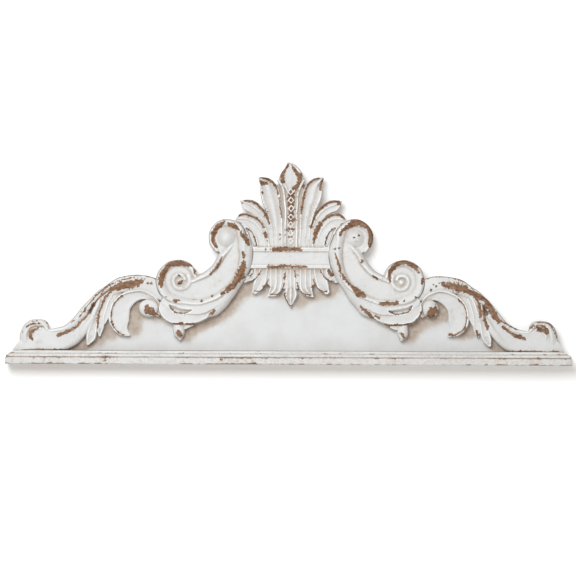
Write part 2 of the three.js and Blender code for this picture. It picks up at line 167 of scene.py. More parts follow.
SCROLL_FORMS = [
    band("flat", SCROLL_FIELD),
    band("flank", SCROLL_FLANK),
    band("flat", SCROLL_WEB),
    boss(*TOP_EYE, 30, 18, 1),
    boss(*LOW_EYE, 36, 18.5, 1),
    band("cove", SCROLL_LEAF),
    band("rim", SCROLL_RIM),
    band("round", arc(LOW_EYE, (18.5, 9), (150, 520), (6.2, 4.6), (22.5, 24.5), 16)),
    boss(208.5, 155.5, 7.5, 25, 0.66),
    band("rim_left", SCROLL_NECK),
    boss(121.5, 238, 15.5, 28.5, 0.66),
    band("round", [[212, 84, 8.5, 14], [212, 71, 10, 17], [211.5, 60, 10.8, 19], [210.5, 52.5, 8.2, 18],
                   [210, 48, 4, 15]]),
    band("flat", [[210, 70, 7, 12], [196, 73, 6, 12], [180, 79, 4, 12]]),
]
SCROLL_SLOT = [[187, 101.5, 1.4, 0], [196, 99.8, 3.6, 0], [207, 99.8, 4.8, 0], [218, 103.3, 5, 0],
               [227.5, 110.5, 1.6, 0]]
SCROLL_SLOT_FLOOR = 13

# End scroll
END_FOOT = band("flat", [
    [515, 25, 6, 12.5], [498, 34, 15, 13], [478, 46, 23.5, 13], [452, 45, 19.5, 13], [430, 47.5, 19.5, 13],
    [407, 60, 16, 14], [384, 90, 9, 14],
])
END_HUMP = band("crown", [
    [238, 133, 16, 16], [257, 144, 17, 17.5], [280, 151.6, 15.4, 19.5], [305, 150.8, 14.6, 19.5],
    [325, 145, 13.4, 18], [340, 136, 10.4, 16], [351, 123.5, 6.4, 14],
])
END_SLOPE = band("round", [
    [453, 61.5, 2.5, 14], [436, 63, 4.2, 15], [420, 67, 5.6, 16], [406, 76.2, 6.8, 17], [393, 90.5, 7.6, 18],
    [380.5, 106, 7.8, 18], [367.5, 120.8, 6.8, 18], [354.5, 135, 5.4, 18], [338, 147, 4.6, 18],
])
END_LEAF = band("blade", [
    [250, 95, 5.5, 14], [252, 112, 6, 16], [263, 125, 6, 18], [280, 130, 9.3, 18], [299, 124.5, 14, 18],
    [315, 110.5, 18, 17], [321, 93, 19.5, 16], [320, 76, 18, 15], [313, 62.5, 10.5, 14], [301, 54, 1.5, 13],
])
END_CURL = band("rim", [
    [456, 65, 3.2, 16], [463, 74.5, 6.2, 18], [478, 76.5, 7, 19], [492, 70.5, 7.5, 19], [499, 57, 7.6, 18],
    [500, 45, 8, 15.5], [500.5, 36, 6, 13],
])
END_FORMS = [
    END_FOOT,
    END_HUMP,
    END_SLOPE,
    band("flat", [[324, 130, 7, 12], [348, 108, 15, 13], [360, 84, 16, 13], [371, 62, 9, 13]]),
    band("round", [[432, 30, 8, 13], [415, 37, 9, 14], [400.5, 47.5, 9, 16], [388, 61, 8.2, 17],
                   [377.5, 77, 7, 18], [368.5, 94, 6, 18], [362, 110, 5, 18], [357, 125, 3.5, 17]]),
    band("channel", [[334, 134, 3, 16], [344, 119, 5.6, 17], [351, 101, 6.2, 17], [354.5, 83, 6.6, 16.5],
                     [355.5, 67, 6.4, 15], [356.5, 54, 2.5, 13]]),
    band("channel", [[364, 86, 3.5, 16], [368, 72, 7.2, 17], [371.5, 58, 9.4, 17], [375, 47, 8.4, 15.5],
                     [378.5, 38, 3.6, 13]]),
    END_LEAF,
    boss(266, 105, 16.8, 21),
    END_CURL,
    band("round", [[468, 66, 2, 15], [479, 64.5, 4.2, 16], [485.5, 56, 5, 16], [484.5, 45, 2.2, 13.2]]),
]

# Crest
LOW_PETAL = [
    [50, 213, 12, 13], [52, 232, 12, 14], [57, 249, 12, 15], [67, 263.5, 12.6, 16], [80, 272, 12.8, 17],
    [93, 274, 10, 17], [104, 271.5, 2, 17],
]
MID_PETAL = [
    [37, 213, 5, 12], [38.5, 244, 5.2, 13], [45, 265, 6.6, 15], [57, 284, 9.8, 16], [71, 295.8, 11.7, 17],
    [83, 300.8, 10.8, 18], [95, 307.5, 1.8, 18],
]
HIGH_PETAL = [
    [25, 213, 10, 12], [26.2, 248, 10.6, 13.5], [30.5, 283, 14.3, 16], [36, 306, 17.6, 17],
    [40.5, 325, 18, 18], [48, 341, 12.5, 19], [61, 352, 1.5, 19],
]
CREST_WEB = [
    [0, 144], [24, 142], [44, 150], [60, 152], [76, 166], [86, 178], [86, 225], [92, 258], [67, 277],
    [47, 289], [22, 334],
]
CREST_WEB_HEIGHT = 10.8
CREST_PAIRS = [
    band("flat", [[72, 227, 11, 13], [77, 240, 11, 13.5], [89, 257, 8, 14]]),
    band("petal", LOW_PETAL),
    band("petal", MID_PETAL),
    band("flutes", HIGH_PETAL),
    band("round", [[10.6, 213, 2.8, 14.5], [10.6, 260, 2.8, 15], [11, 295, 2.8, 16], [13, 320, 2.8, 17],
                   [17.5, 336, 2.8, 18], [25, 347.5, 1.8, 17]]),
    band("petal", [[62, 187, 5, 12], [68.5, 171, 6.6, 14], [77, 163, 6.6, 14], [87, 158, 4, 13]]),
    band("channel", [[50, 190, 8, 12], [53, 168, 9.8, 14], [58, 154, 12, 15.5], [63, 144.5, 10.5, 15.5],
                     [68, 137.5, 5.5, 14]]),
    band("ribs", [[28, 190, 13, 12], [28, 163, 13, 14], [28.5, 149, 13.2, 15], [32, 138.5, 11.5, 15],
                  [42, 129, 1.8, 14]]),
]
BUD = [
    [0, 322, 6, 15], [0, 333, 13, 17], [0, 345, 22.5, 19], [0, 356, 22.5, 20], [-1, 366, 17, 20],
    [-3, 374, 9.5, 20], [-7, 381.2, 0.8, 20],
]
CREST_MIDDLE = [
    band("scoop", BUD),
    band("ribs", [[0, 190, 11, 12], [0, 160, 10.3, 14], [0, 144, 10.6, 15], [0, 131.5, 13.5, 16],
                  [0, 119, 7.6, 16], [0, 108, 0.8, 15]]),
]
# Bars across the crest: low edge, high edge and height
CREST_BARS = [(181, 221, 12), (212.5, 221, 15.4), (181, 188, 15)]
CREST_BAR_HALF = 90
BAR_ROUNDING = 1.6
BAR_ROUND_RUN = 0.7

# The painted shade under the bars: strength, reach down and half width
BAR_SHADE = 0.4
BAR_SHADE_REACH = 13
BAR_SHADE_HALF = 66
CREST_SLOTS = [[[67.5, 225, 3.2, 0], [71.8, 238, 4.2, 0], [77, 249, 3.4, 0], [84, 256.5, 1.5, 0]],
               [[71.5, 177.5, 2.4, 0], [75, 172.5, 4.6, 0], [78.5, 168.5, 2.8, 0]]]
CREST_SLOT_FLOOR = 8
BEAD_ROWS = [232 + 15.5 * i for i in range(7)]
BEAD_ACROSS = 6.6
BEAD_UP = 7.6
BEAD_TOP = 14.5
BEAD_DISH = 8
BEAD_EDGE = 0.7
BEAD_SLANT = 0.7

SIDES = {-1: "left", 1: "right"}


def mirrored(rows):
    return [[-row[0], *row[1:]] for row in rows]


def turned(form):
    """The same form on the other side of the middle"""
    if "rows" not in form:
        x, z = form["centre"]
        return {**form, "centre": (-x, z)}
    return {**form, "rows": mirrored(form["rows"]), "turned": not form.get("turned", False)}


def forms_on(side, forms):
    return forms if side > 0 else [turned(form) for form in forms]


def rows_on(side, rows):
    return rows if side > 0 else mirrored(rows)


def along(rows, per=8):
    """Points of a Catmull-Rom spline through the rows"""
    points = np.array(rows, float)
    before = np.vstack([points[:1], points[:-2]])
    after = np.vstack([points[2:], points[-1:]])
    first, second = points[:-1], points[1:]
    share = (np.arange(per) / per)[None, :, None]
    p0, p1, p2, p3 = (p[:, None, :] for p in (before, first, second, after))
    spline = 0.5 * (2 * p1 + (p2 - p0) * share + (2 * p0 - 5 * p1 + 4 * p2 - p3) * share ** 2
                    + (3 * p1 - p0 - 3 * p2 + p3) * share ** 3)
    line = np.vstack([spline.reshape(-1, points.shape[1]), points[-1:]])
    line[:, 2] = np.maximum(line[:, 2], LEAST_HALF)
    return line


def blur(field, sigma):
    """Gaussian blur, sigma in grid steps"""
    reach = max(1, int(3 * sigma))
    weights = np.exp(-0.5 * (np.arange(-reach, reach + 1) / sigma) ** 2)
    weights /= weights.sum()
    for axis in (0, 1):
        pad = [(0, 0), (0, 0)]
        pad[axis] = (reach, reach)
        padded = np.pad(field, pad, mode="edge")
        size = field.shape[axis]
        field = sum(w * np.take(padded, np.arange(i, i + size), axis=axis) for i, w in enumerate(weights))
    return field


ROUND_DOME, FLAT_DOME = 0.5, 1.2
SLOT_WALL, SLOT_GENTLE_WALL = 0.9, 5.0
LIP_HEIGHT, LIP_AWAY = 1.1, 1.3
SECTION_SAMPLES, SECTION_SMOOTHING = 121, 11


class Sheet:
    """A grid over part of the sheet, with the carving's silhouette and height on it"""

    def __init__(self, low, high, step, seed):
        self.step = step
        self.low, self.high = low, high
        self.size = tuple(int((b - a) / step) + 2 for a, b in zip(low, high))
        self.rng = np.random.default_rng(seed)
        x = low[0] + step * np.arange(self.size[0])
        z = low[1] + step * np.arange(self.size[1])
        self.flat_x, self.flat_z = np.meshgrid(x, z)
        self.x = self.flat_x + WOBBLE * self.noise(WOBBLE_SCALE)
        self.z = self.flat_z + WOBBLE * self.noise(WOBBLE_SCALE)
        # Distance inside the silhouette, the surface's height and the height to carry on with past the edge
        self.inside = np.full(self.flat_x.shape, OUTSIDE)
        self.top, self.beyond = np.zeros_like(self.inside), np.zeros_like(self.inside)
        # Where the paint is kept, where a recess is sunk and where more painted shade lies
        self.kept, self.sunk, self.shade = (np.zeros_like(self.inside) for _ in range(3))

    def noise(self, scale):
        """Smooth noise of about unit size, scale in millimetres"""
        sigma = max(scale / self.step / 4, 0.8)
        coarse = max(1, int(sigma / 2))
        shape = tuple(n // coarse + 3 for n in reversed(self.size))
        rough = blur(self.rng.standard_normal(shape), sigma / coarse)
        rough /= rough.std()
        columns, rows = np.meshgrid(np.arange(self.size[0]) / coarse, np.arange(self.size[1]) / coarse)
        return bilinear(rough, columns, rows)

    def window(self, x_low, x_high, z_low, z_high):
        def span(low, high, origin, count):
            first = int((low - origin) / self.step)
            last = int((high - origin) / self.step) + 2
            return slice(min(max(first, 0), count), min(max(last, 0), count))
        down = span(z_low, z_high, self.low[1], self.size[1])
        return (down, span(x_low, x_high, self.low[0], self.size[0]))

    def follow(self, rows, reach=REACH):
        """Distance to a line, positive on its left, and the line's half width and height there"""
        line = along(rows)
        nearest = np.full(self.x.shape, np.inf)
        offset = np.full(self.x.shape, 1e3)
        half = np.ones(self.x.shape)
        height = np.zeros(self.x.shape)
        for start, end in zip(line[:-1], line[1:]):
            pad = max(start[2], end[2]) + reach
            low, high = np.minimum(start, end) - pad, np.maximum(start, end) + pad
            part = self.window(low[0], high[0], low[1], high[1])
            step = end - start
            length = step[0] ** 2 + step[1] ** 2 + 1e-12
            x, z = self.x[part] - start[0], self.z[part] - start[1]
            share = np.clip((x * step[0] + z * step[1]) / length, 0, 1)
            away_x, away_z = x - share * step[0], z - share * step[1]
            distance = away_x ** 2 + away_z ** 2
            closer = distance < nearest[part]
            side = np.where(step[0] * away_z - step[1] * away_x >= 0, 1.0, -1.0)
            for field, value in ((nearest, distance), (offset, side * np.sqrt(distance)),
                                 (half, start[2] + share * step[2]), (height, start[3] + share * step[3])):
                field[part][closer] = value[closer]
        return offset, half, height

    def merge(self, inside, height, part=...):
        """Adds a form: the higher surface wins, with a small fillet between the two"""
        top = self.top[part]
        soft = np.maximum(FILLET - np.abs(top - height), 0) ** 2 / (4 * FILLET)
        both = np.maximum(top, height) + np.where(top > 0, soft, 0)
        nearer = inside > self.inside[part]
        self.beyond[part] = np.where(nearer, height, self.beyond[part])
        self.top[part] = np.where(inside > 0, both, top)
        self.inside[part] = np.maximum(self.inside[part], inside)

    def lay(self, form):
        if "rows" in form:
            offset, half, height = self.follow(form["rows"])
            across = np.clip(offset / half, -1, 1) * (-1 if form.get("turned") else 1)
            self.merge(half - np.abs(offset), height * share_across(form["section"], across))
            return
        (x, z), radius, height = form["centre"], form["radius"], form["height"]
        pad = radius + REACH
        part = self.window(x - pad, x + pad, z - pad, z + pad)
        distance = np.hypot(self.x[part] - x, self.z[part] - z)
        power = ROUND_DOME if form["foot"] < 0.5 else FLAT_DOME
        dome = np.maximum(1 - (distance / radius) ** 2, 0) ** power
        self.merge(radius - distance, height * (form["foot"] + (1 - form["foot"]) * dome), part)

    def sink(self, floor, rows, gentle=SLOT_WALL, gentle_side=1):
        """A recess with a flat floor, a slightly raised lip and, on one side, a wall that may be gentler"""
        offset, half, _ = self.follow(rows)
        edge = half - np.abs(offset)
        run = np.where(offset * gentle_side > 0, gentle, SLOT_WALL)
        # A steep wall starts nearly half way down
        wall = np.clip(edge / run + 0.45 * (run < 1), 0, 1)
        lip = LIP_HEIGHT * np.exp(-(edge + LIP_AWAY) ** 2)
        self.sunk = np.maximum(self.sunk, np.clip(edge / 0.8 - 0.9, 0, 1))
        raised = self.top + lip
        self.top = np.minimum(raised, raised * (1 - wall) + floor * wall)

    def finish(self, softness):
        self.top = np.where(self.inside > 0, self.top, self.beyond)
        self.top = blur(self.top, softness / self.step)


def share_across(name, across):
    """The cross-section's share of the height, smoothed, at each place across the band"""
    points = sorted(SECTIONS[name])
    places = np.linspace(-1, 1, SECTION_SAMPLES)
    share = np.interp(places, [p for p, _ in points], [s for _, s in points])
    window = np.hanning(SECTION_SMOOTHING)
    padded = np.pad(share, SECTION_SMOOTHING // 2, mode="edge")
    share = np.convolve(padded, window / window.sum(), "valid")
    return np.interp(across, places, share)


# Worn places, for either side: strokes of (x, z, half width) where the paint has gone to the wood
def faint(strength, *rows):
    """A stroke that is worn in part"""
    return [(*row, strength) for row in rows]


def edge_stroke(rows, across, start, end, half):
    """A worn stroke along a band, at a place across it, between two shares of its length"""
    line = along(rows)
    first, last = int(start * (len(line) - 1)), int(end * (len(line) - 1))
    step = np.gradient(line[:, :2], axis=0)
    step /= np.linalg.norm(step, axis=1)[:, None] + 1e-9
    shift = (across * line[:, 2])[:, None] * np.column_stack([-step[:, 1], step[:, 0]])
    return [(x, z, half) for x, z in (line[:, :2] + shift)[first:last + 1:4]]


SCROLL_WEAR = {
    "left": [
        [(128, 266, 3), (136, 261, 4.5), (143, 252, 4.5), (146.5, 240, 4.5), (146, 230, 4), (139, 220, 2)],
        [(117, 265, 3), (108, 261, 4.5), (100, 255, 3)], [(94, 249, 2.5), (87, 238, 4.8), (80.5, 225, 3)],
        [(90, 210, 3), (88, 202, 3)],
        [(89, 191, 3.5), (94, 173, 8), (101, 158, 7), (109, 149, 6), (120, 139.5, 5.5)],
        [(126, 135, 3.5), (131, 132, 2.5)],
        [(244, 146, 3), (244, 158, 5), (240, 172, 5), (233, 182, 5), (223, 188, 5), (210, 190, 5),
         (198, 188, 4), (189, 186, 3)], [(219, 120, 2.4), (210, 120, 2.4)],
        edge_stroke(SCROLL_SLOT, -0.9, 0.2, 1.0, 0.8), [(168, 119, 2)], [(149, 127.5, 1.8)],
        [(182, 178, 1.5), (181, 171, 1.8)], [(209, 152, 3.4), (205, 156, 2.2)], [(210, 166, 1.8)],
        [(236, 127, 1.2)], [(152, 168, 1.2), (144, 178, 2), (135, 190, 2.2), (130, 202, 1.2)],
        [(221, 76, 1.5), (205, 76, 1.6)], [(198, 75, 1.6), (176, 75, 1.8)], [(145, 101, 2)],
        [(153, 93, 1.4), (143, 101, 2.2)], [(212, 60, 4.5), (209, 55, 5)],
    ],
    "right": [
        [(92, 243, 2), (100, 254, 3.5), (112, 263, 5), (128, 268, 5.5), (142, 262, 5.5), (150, 250, 4.5),
         (151, 236, 4.5), (148, 222, 2.5)],
        faint(0.76, (82, 212, 2), (88, 192, 3.4), (95, 173, 3.6), (103, 160, 4), (111, 152, 3.4)),
        [(86, 200, 1.2), (90, 186, 1.4)], [(101, 163, 1.6), (108, 154, 1.8)],
        [(116, 147, 3.5), (126, 138, 6.5), (136, 130, 5)],
        [(187, 157, 2), (187, 172, 3.6), (196, 186, 4.5), (207, 192, 5), (222, 191, 5), (233, 184, 4.5),
         (241, 175, 2.5)], [(248.5, 163, 2), (248, 153, 2)], [(236, 127, 2.6)], [(214, 121, 1.2)],
        edge_stroke(SCROLL_SLOT, -0.9, 0.0, 1.0, 0.8),
        [(200, 116, 3.2), (185, 115.5, 3.4), (169, 116, 3)], [(167, 89, 1.8), (160, 92, 1.6)],
        faint(0.8, (131, 111, 1.6), (141, 102, 3.6), (151, 92, 4), (156, 87, 2.4)),
        [(156, 86, 1.2), (170, 77, 1.6), (186, 72, 1.5)],
        [(226, 76, 0.8), (237, 82, 0.8), (244, 91, 0.8), (247, 100, 0.8)], [(134, 196, 1.6), (133, 193, 1.4)],
        [(155, 167, 1.4), (163, 162, 1.6)], [(225, 77, 1.3), (205, 75, 1.5), (180, 74, 1.5)],
        [(118, 239, 1.4)], [(128, 243, 1.2)], [(91, 219, 1.8)], [(82, 218, 1.6)],
        [(208, 61, 2.2), (213, 53, 2.4)],
    ],
}
END_WEAR = {
    "left": [
        [(336, 140, 4), (320, 145, 6), (303, 150, 7.5), (286, 153, 7), (276, 155, 3)], [(268, 152, 1.6)],
        [(261, 152, 1.6)],
        [(335, 143, 2.2), (347, 133, 1.3), (360, 122, 1.4), (370, 108, 2), (382, 90, 1.8), (393, 77, 1.6),
         (404, 67, 2.4), (417, 60, 2.8), (436, 54, 3)],
        [(337, 136, 2), (347, 124, 1.5), (354, 108, 1.9), (359, 90, 1.6), (361, 66, 1.7)],
        [(333, 151, 0.9), (350, 141, 1), (372, 118, 1), (395, 88, 0.9)],
        edge_stroke(END_LEAF["rows"], 0.74, 0.5, 0.97, 0.9), [(267, 106, 5), (264, 100, 7.5), (257, 95, 4)],
        [(254, 94, 1.4), (247, 92, 1.6)], faint(0.62, (493, 70, 2.4), (482, 76, 3), (468, 75, 2.4)),
        [(484, 46, 2.4), (487, 54, 4), (483, 62, 3.4), (474, 66, 1.4)],
        edge_stroke(END_HUMP["rows"], 0.97, 0.15, 1.0, 0.6),
        [(400, 25.6, 0.8), (440, 25.6, 0.7), (505, 25.6, 0.6)], [(298, 161, 0.9), (315, 158, 0.9)],
        faint(0.5, (330, 152, 3), (352, 138, 3.4), (374, 116, 3.4), (392, 92, 3), (410, 76, 2.4)),
        faint(0.5, (270, 160, 3), (300, 162, 3.6), (330, 153, 3)),
        faint(0.5, (452, 70, 2), (462, 79, 2.6), (486, 78, 3), (501, 60, 2.4)),
    ],
    "right": [
        faint(0.8, (291, 153, 6), (301, 149, 8), (318, 147, 9), (334, 142, 8.5), (350, 134, 6)),
        [(312, 148, 4), (332, 143, 5), (350, 134, 5), (368, 124, 4.5)],
        [(369, 125, 4.5), (380, 108, 5.5), (389, 93, 5.5), (398, 82, 3.5)],
        [(405, 71, 2.4), (419, 61, 3), (430, 55, 4), (443, 50, 3)], [(267, 141, 2.8)], [(272, 152, 1)],
        [(279, 148, 1)], [(283, 154, 1)], [(352, 128, 2), (360, 112, 2.4), (363, 92, 2.2)],
        [(367, 112, 2.5), (370, 88, 2.8), (376, 68, 2.4)], [(275, 102, 6), (269, 99, 8.5), (262, 94, 5)],
        edge_stroke(END_HUMP["rows"], 0.97, 0.15, 1.0, 0.6),
        [(394, 25.6, 0.9), (450, 25.6, 0.9), (510, 25.6, 0.9)],
        [(303, 57, 2.2), (312, 56, 1.4), (325, 62, 1.4), (334, 72, 1.2)], [(355, 62, 2), (357, 56, 2.2)],
        edge_stroke(END_LEAF["rows"], 0.74, 0.54, 0.97, 0.9),
        faint(0.66, (464, 74, 2.4), (475, 74, 4), (488, 68, 4)),
        [(470, 66, 2.4), (478, 66, 4), (489, 61, 3.4)], [(496, 76, 0.8), (504, 66, 0.8), (507, 52, 0.8)],
        faint(0.62, (400, 84, 2.4), (424, 70, 2.6), (446, 67, 2)),
        faint(0.62, (455, 70, 2), (470, 80, 2.6), (492, 77, 2.6), (503, 60, 2.4)),
    ],
}
FRINGE_WEAR = [
    [(56, 176, 0.8), (62, 166, 0.8), (71, 158.5, 0.9), (82, 156, 0.8)],
    [(42, 160, 0.9), (46, 151, 1.1), (52, 142, 0.9), (60, 137, 0.9), (68, 138, 0.8)],
    [(46, 152, 1.2), (39, 146, 0.8)], [(13, 154, 0.9), (17, 139, 1), (26, 133, 0.9), (38, 131.5, 1.1)],
]
CREST_WEAR = {
    "left": [
        edge_stroke(HIGH_PETAL, 0.78, 0.62, 0.96, 1.8), edge_stroke(HIGH_PETAL, 0.82, 0.3, 0.62, 0.9),
        [(58, 346, 2), (53, 342, 4.5), (48, 341, 2.5)], [(55, 325, 2)], [(58, 315, 1)],
        edge_stroke(MID_PETAL, 0.72, 0.35, 0.97, 1.9), [(92, 303, 2.4)],
        edge_stroke(LOW_PETAL, 0.76, 0.38, 0.95, 1.7), [(49, 249, 3), (47, 241, 3.6)], [(44, 233, 1.8)],
        [(20, 246, 1.2)], [(21, 236, 1)], *FRINGE_WEAR, edge_stroke(CREST_SLOTS[0], 0.9, 0.0, 0.95, 0.7),
        edge_stroke(CREST_SLOTS[1], 0.9, 0.0, 1.0, 0.8),
        edge_stroke(CREST_SLOTS[1], -0.9, 0.0, 1.0, 0.8),
    ],
    "right": [
        edge_stroke(HIGH_PETAL, 0.78, 0.35, 0.96, 1.9), [(60, 350, 2), (56, 340, 2.2), (54, 330, 2.4)],
        edge_stroke(MID_PETAL, 0.72, 0.28, 0.97, 2.2), [(92, 303, 2.6)],
        edge_stroke(LOW_PETAL, 0.78, 0.5, 0.97, 2.3),
        [(57, 266, 3.6), (49, 254, 4.2), (45, 240, 3.4), (43, 230, 1.5)], *FRINGE_WEAR,
        edge_stroke(CREST_SLOTS[0], 0.9, 0.0, 0.95, 0.7), [(72.5, 175.5, 2.6), (77, 170, 3.4)],
    ],
}
CREST_MIDDLE_WEAR = [
    [(3, 372, 2), (9, 365, 3.4), (16, 354, 4.2), (15, 344, 4), (8, 334, 3.6), (2, 328, 4)],
    [(-6, 376, 2), (-13, 367, 3.4), (-17, 354, 3.6), (-16, 344, 3)],
    [(-33, 217, 3.2), (-15, 217.4, 4), (4, 217, 4), (17, 217, 2.6)],
    [(-45, 184.5, 1.6), (-36, 184.6, 2.4), (0, 184.4, 2.6), (22, 184.4, 2.4), (31, 184.2, 1.5)],
    [(0, 322, 6), (0, 300, 6.5), (0, 275, 6.2), (0, 268, 4)], [(-5, 256, 2.2), (5, 255, 2.2)],
    [(-4, 240, 1.5), (2, 240, 1.5)], [(-3, 252, 1.2), (3, 251, 1.2)], [(-38, 217, 1.2)], [(-47, 216, 1.3)],
    [(-12, 134, 0.8), (-8, 122, 1), (-1, 111, 1), (7, 115, 1), (13, 124, 1), (14, 133, 0.8)], [(12, 168, 1)],
    [(-11, 172, 1), (-12, 160, 1.2)], [(8, 176, 1.1), (9, 165, 1)],
]

# Round each stroke: the wear beside it, how fast it fades and how far it reaches
HALO = 0.43
HALO_WIDTH = 3.2
HALO_REACH = 9.0
KEPT_SHARE = 0.85


def worn(sheet, strokes):
    """How near each point is to a worn stroke: 1 along it, a half at its edge, 0 far off"""
    wear = np.zeros(sheet.x.shape)
    for rows in strokes:
        line = [row if len(row) > 3 else (*row, 1.0) for row in rows]
        offset, half, strength = sheet.follow(line if len(line) > 1 else line * 2, HALO_REACH)
        outside = np.maximum(np.abs(offset) - half, 0)
        wear = np.maximum(wear, strength * np.clip(1 - 0.5 * np.abs(offset) / half, 0, 1))
        wear = np.maximum(wear, HALO * strength * np.exp(-(outside / HALO_WIDTH) ** 2))
    return wear * (1 - KEPT_SHARE * sheet.kept)


def bilinear(field, x, z):
    """The field at fractional grid places"""
    x = np.clip(x, 0, field.shape[1] - 1.001)
    z = np.clip(z, 0, field.shape[0] - 1.001)
    i, j = z.astype(int), x.astype(int)
    di, dj = z - i, x - j
    return ((field[i, j] * (1 - dj) + field[i, j + 1] * dj) * (1 - di)
            + (field[i + 1, j] * (1 - dj) + field[i + 1, j + 1] * dj) * di)


CORNER_ROUNDS = 8


def whole_cells(inside):
    """The grid cells inside the silhouette, without cells that touch only at a corner, in one body"""
    middle = (inside[:-1, :-1] + inside[1:, :-1] + inside[:-1, 1:] + inside[1:, 1:]) / 4
    cells = np.pad(middle > 0, 1)
    for _ in range(CORNER_ROUNDS):
        a, b, c, d = cells[:-1, :-1], cells[:-1, 1:], cells[1:, :-1], cells[1:, 1:]
        touching = (a & d & ~b & ~c) | (b & c & ~a & ~d)
        if not touching.any():
            break
        rows, columns = np.nonzero(touching)
        cells[rows, columns] = cells[rows, columns + 1] = False
        cells[rows + 1, columns] = cells[rows + 1, columns + 1] = False
    body = np.zeros_like(cells)
    body[np.unravel_index(np.argmax(np.pad(middle, 1) * cells), cells.shape)] = True
    while True:
        wider = body.copy()
        wider[1:] |= body[:-1]
        wider[:-1] |= body[1:]
        wider[:, 1:] |= wider[:, :-1]
        wider[:, :-1] |= wider[:, 1:]
        wider &= cells
        if (wider == body).all():
            return body[1:-1, 1:-1]
        body = wider


def loops_of(edges):
    """Closed loops of vertex numbers from directed boundary edges"""
    after = dict(edges)
    loops = []
    while after:
        start, here = after.popitem()
        loop = [start]
        while here != start:
            loop.append(here)
            here = after.pop(here)
        loops.append(loop)
    return loops


# The rim is moved onto the silhouette in a few steps, each at most a share of the grid's step
RIM_ROUNDS = 3
RIM_STEP = 0.5
RIM_REACH = 0.95

# Rings down a side wall: depth below its top edge and share of the edge's wear, glaze and painted light. The
# last is on the back.
WALL_RINGS = ((0.8, 0.7), (2.4, 0.25), (6.0, 0.0), (None, 0.0))
LEAST_WALL = 0.4
# Painted shade added on the back ring, where a side wall meets the board
FOOT_PAINTED_SHADE = 0.6
CREASE = math.radians(48)
LEDGE_CREASE = math.radians(50)


def placed(name, data):
    """A new object in the scene"""
    piece = bpy.data.objects.new(name, data)
    bpy.context.collection.objects.link(piece)
    return piece


def painted(name, mesh, values, crease, material):
    """An object for a mesh, with the values that its paint is worked out from"""
    mesh.polygons.foreach_set("use_smooth", np.ones(len(mesh.polygons), bool))
    mesh.set_sharp_from_angle(angle=crease)
    for key, value in values.items():
        attribute = mesh.attributes.new(key, "FLOAT", "POINT")
        attribute.data.foreach_set("value", np.array(value, np.float32))
    mesh.materials.append(material)
    return placed(name, mesh)


def relief(name, sheet, place, fields, material):
    """A closed mesh: the sheet's surface inside its silhouette, its side walls and its flat back.
    place turns sheet x, z and h into metres. fields become point attributes."""
    cells = whole_cells(sheet.inside)
    used = np.zeros(sheet.inside.shape, int)
    for i in (0, 1):
        for j in (0, 1):
            used[i:i + cells.shape[0], j:j + cells.shape[1]] += cells
    number = np.full(used.shape, -1)
    number[used > 0] = np.arange((used > 0).sum())
    rows, columns = np.nonzero(used)
    rim = used[rows, columns] < 4
    x, z = columns.astype(float), rows.astype(float)
    slope_z, slope_x = np.gradient(sheet.inside)
    for _ in range(RIM_ROUNDS):
        value = bilinear(sheet.inside, x[rim], z[rim])
        away = np.array([bilinear(slope_x, x[rim], z[rim]), bilinear(slope_z, x[rim], z[rim])])
        move = -value * away / np.maximum((away ** 2).sum(0), 0.05 * sheet.step ** 2)
        move = np.clip(move, -RIM_STEP, RIM_STEP)
        x[rim] = np.clip(x[rim] + move[0], columns[rim] - RIM_REACH, columns[rim] + RIM_REACH)
        z[rim] = np.clip(z[rim] + move[1], rows[rim] - RIM_REACH, rows[rim] + RIM_REACH)
    top = bilinear(sheet.top, x, z)
    values = {key: bilinear(field, x, z) for key, field in fields.items()}
    flat_x, flat_z = sheet.low[0] + sheet.step * x, sheet.low[1] + sheet.step * z

    i, j = np.nonzero(cells)
    quads = np.column_stack([number[i, j], number[i, j + 1], number[i + 1, j + 1], number[i + 1, j]])
    padded = np.pad(cells, 1)
    edges = []
    for corners, (down, across) in (((0, 1), (-1, 0)), ((1, 2), (0, 1)), ((2, 3), (1, 0)), ((3, 0), (0, -1))):
        open_side = ~padded[i + 1 + down, j + 1 + across]
        edges.append(quads[open_side][:, corners])
    edges = np.vstack(edges)

    ring = np.unique(edges)
    place_in_ring = np.full(len(x), -1)
    place_in_ring[ring] = np.arange(len(ring))
    heights = [top]
    flats = [np.column_stack([flat_x, flat_z])]
    layers = {key: [value] for key, value in values.items()}
    previous = ring
    count = len(x)
    faces = [quads]
    wall_from, wall_to = place_in_ring[edges[:, 0]], place_in_ring[edges[:, 1]]
    for step, fade in WALL_RINGS:
        on_back = step is None
        heights.append(np.zeros(len(ring)) if on_back else np.maximum(top[ring] - step, LEAST_WALL))
        flats.append(np.column_stack([flat_x[ring], flat_z[ring]]))
        for key, value in values.items():
            layers[key].append(value[ring] * fade + (FOOT_PAINTED_SHADE if on_back and key == "glaze_painted_shade_highlight" else 0.0))
        lower = np.arange(count, count + len(ring))
        wall = [previous[wall_to], previous[wall_from], lower[wall_from], lower[wall_to]]
        faces.append(np.column_stack(wall))
        previous = lower
        count += len(ring)
    heights = np.concatenate(heights)
    flats = np.vstack(flats)
    quads = np.vstack(faces)

    lowest = {int(a): int(b) for a, b in zip(previous[wall_to], previous[wall_from])}
    loops = loops_of(lowest.items())
    outlines = [[Vector((*flats[v], 0)) for v in loop] for loop in loops]
    order = [v for loop in loops for v in loop]
    caps = np.array([[order[k] for k in face] for face in tessellate_polygon(outlines)])
    corners = flats[caps]
    area = np.cross(corners[:, 1] - corners[:, 0], corners[:, 2] - corners[:, 0])
    caps[area > 0] = caps[area > 0][:, ::-1]

    mesh = bpy.data.meshes.new(name)
    points = place(flats[:, 0], flats[:, 1], heights)
    mesh.from_pydata(points.tolist(), [], quads.tolist() + caps.tolist())
    values = {key: np.concatenate(parts) for key, parts in layers.items()}
    return painted(name, mesh, values, CREASE, material)


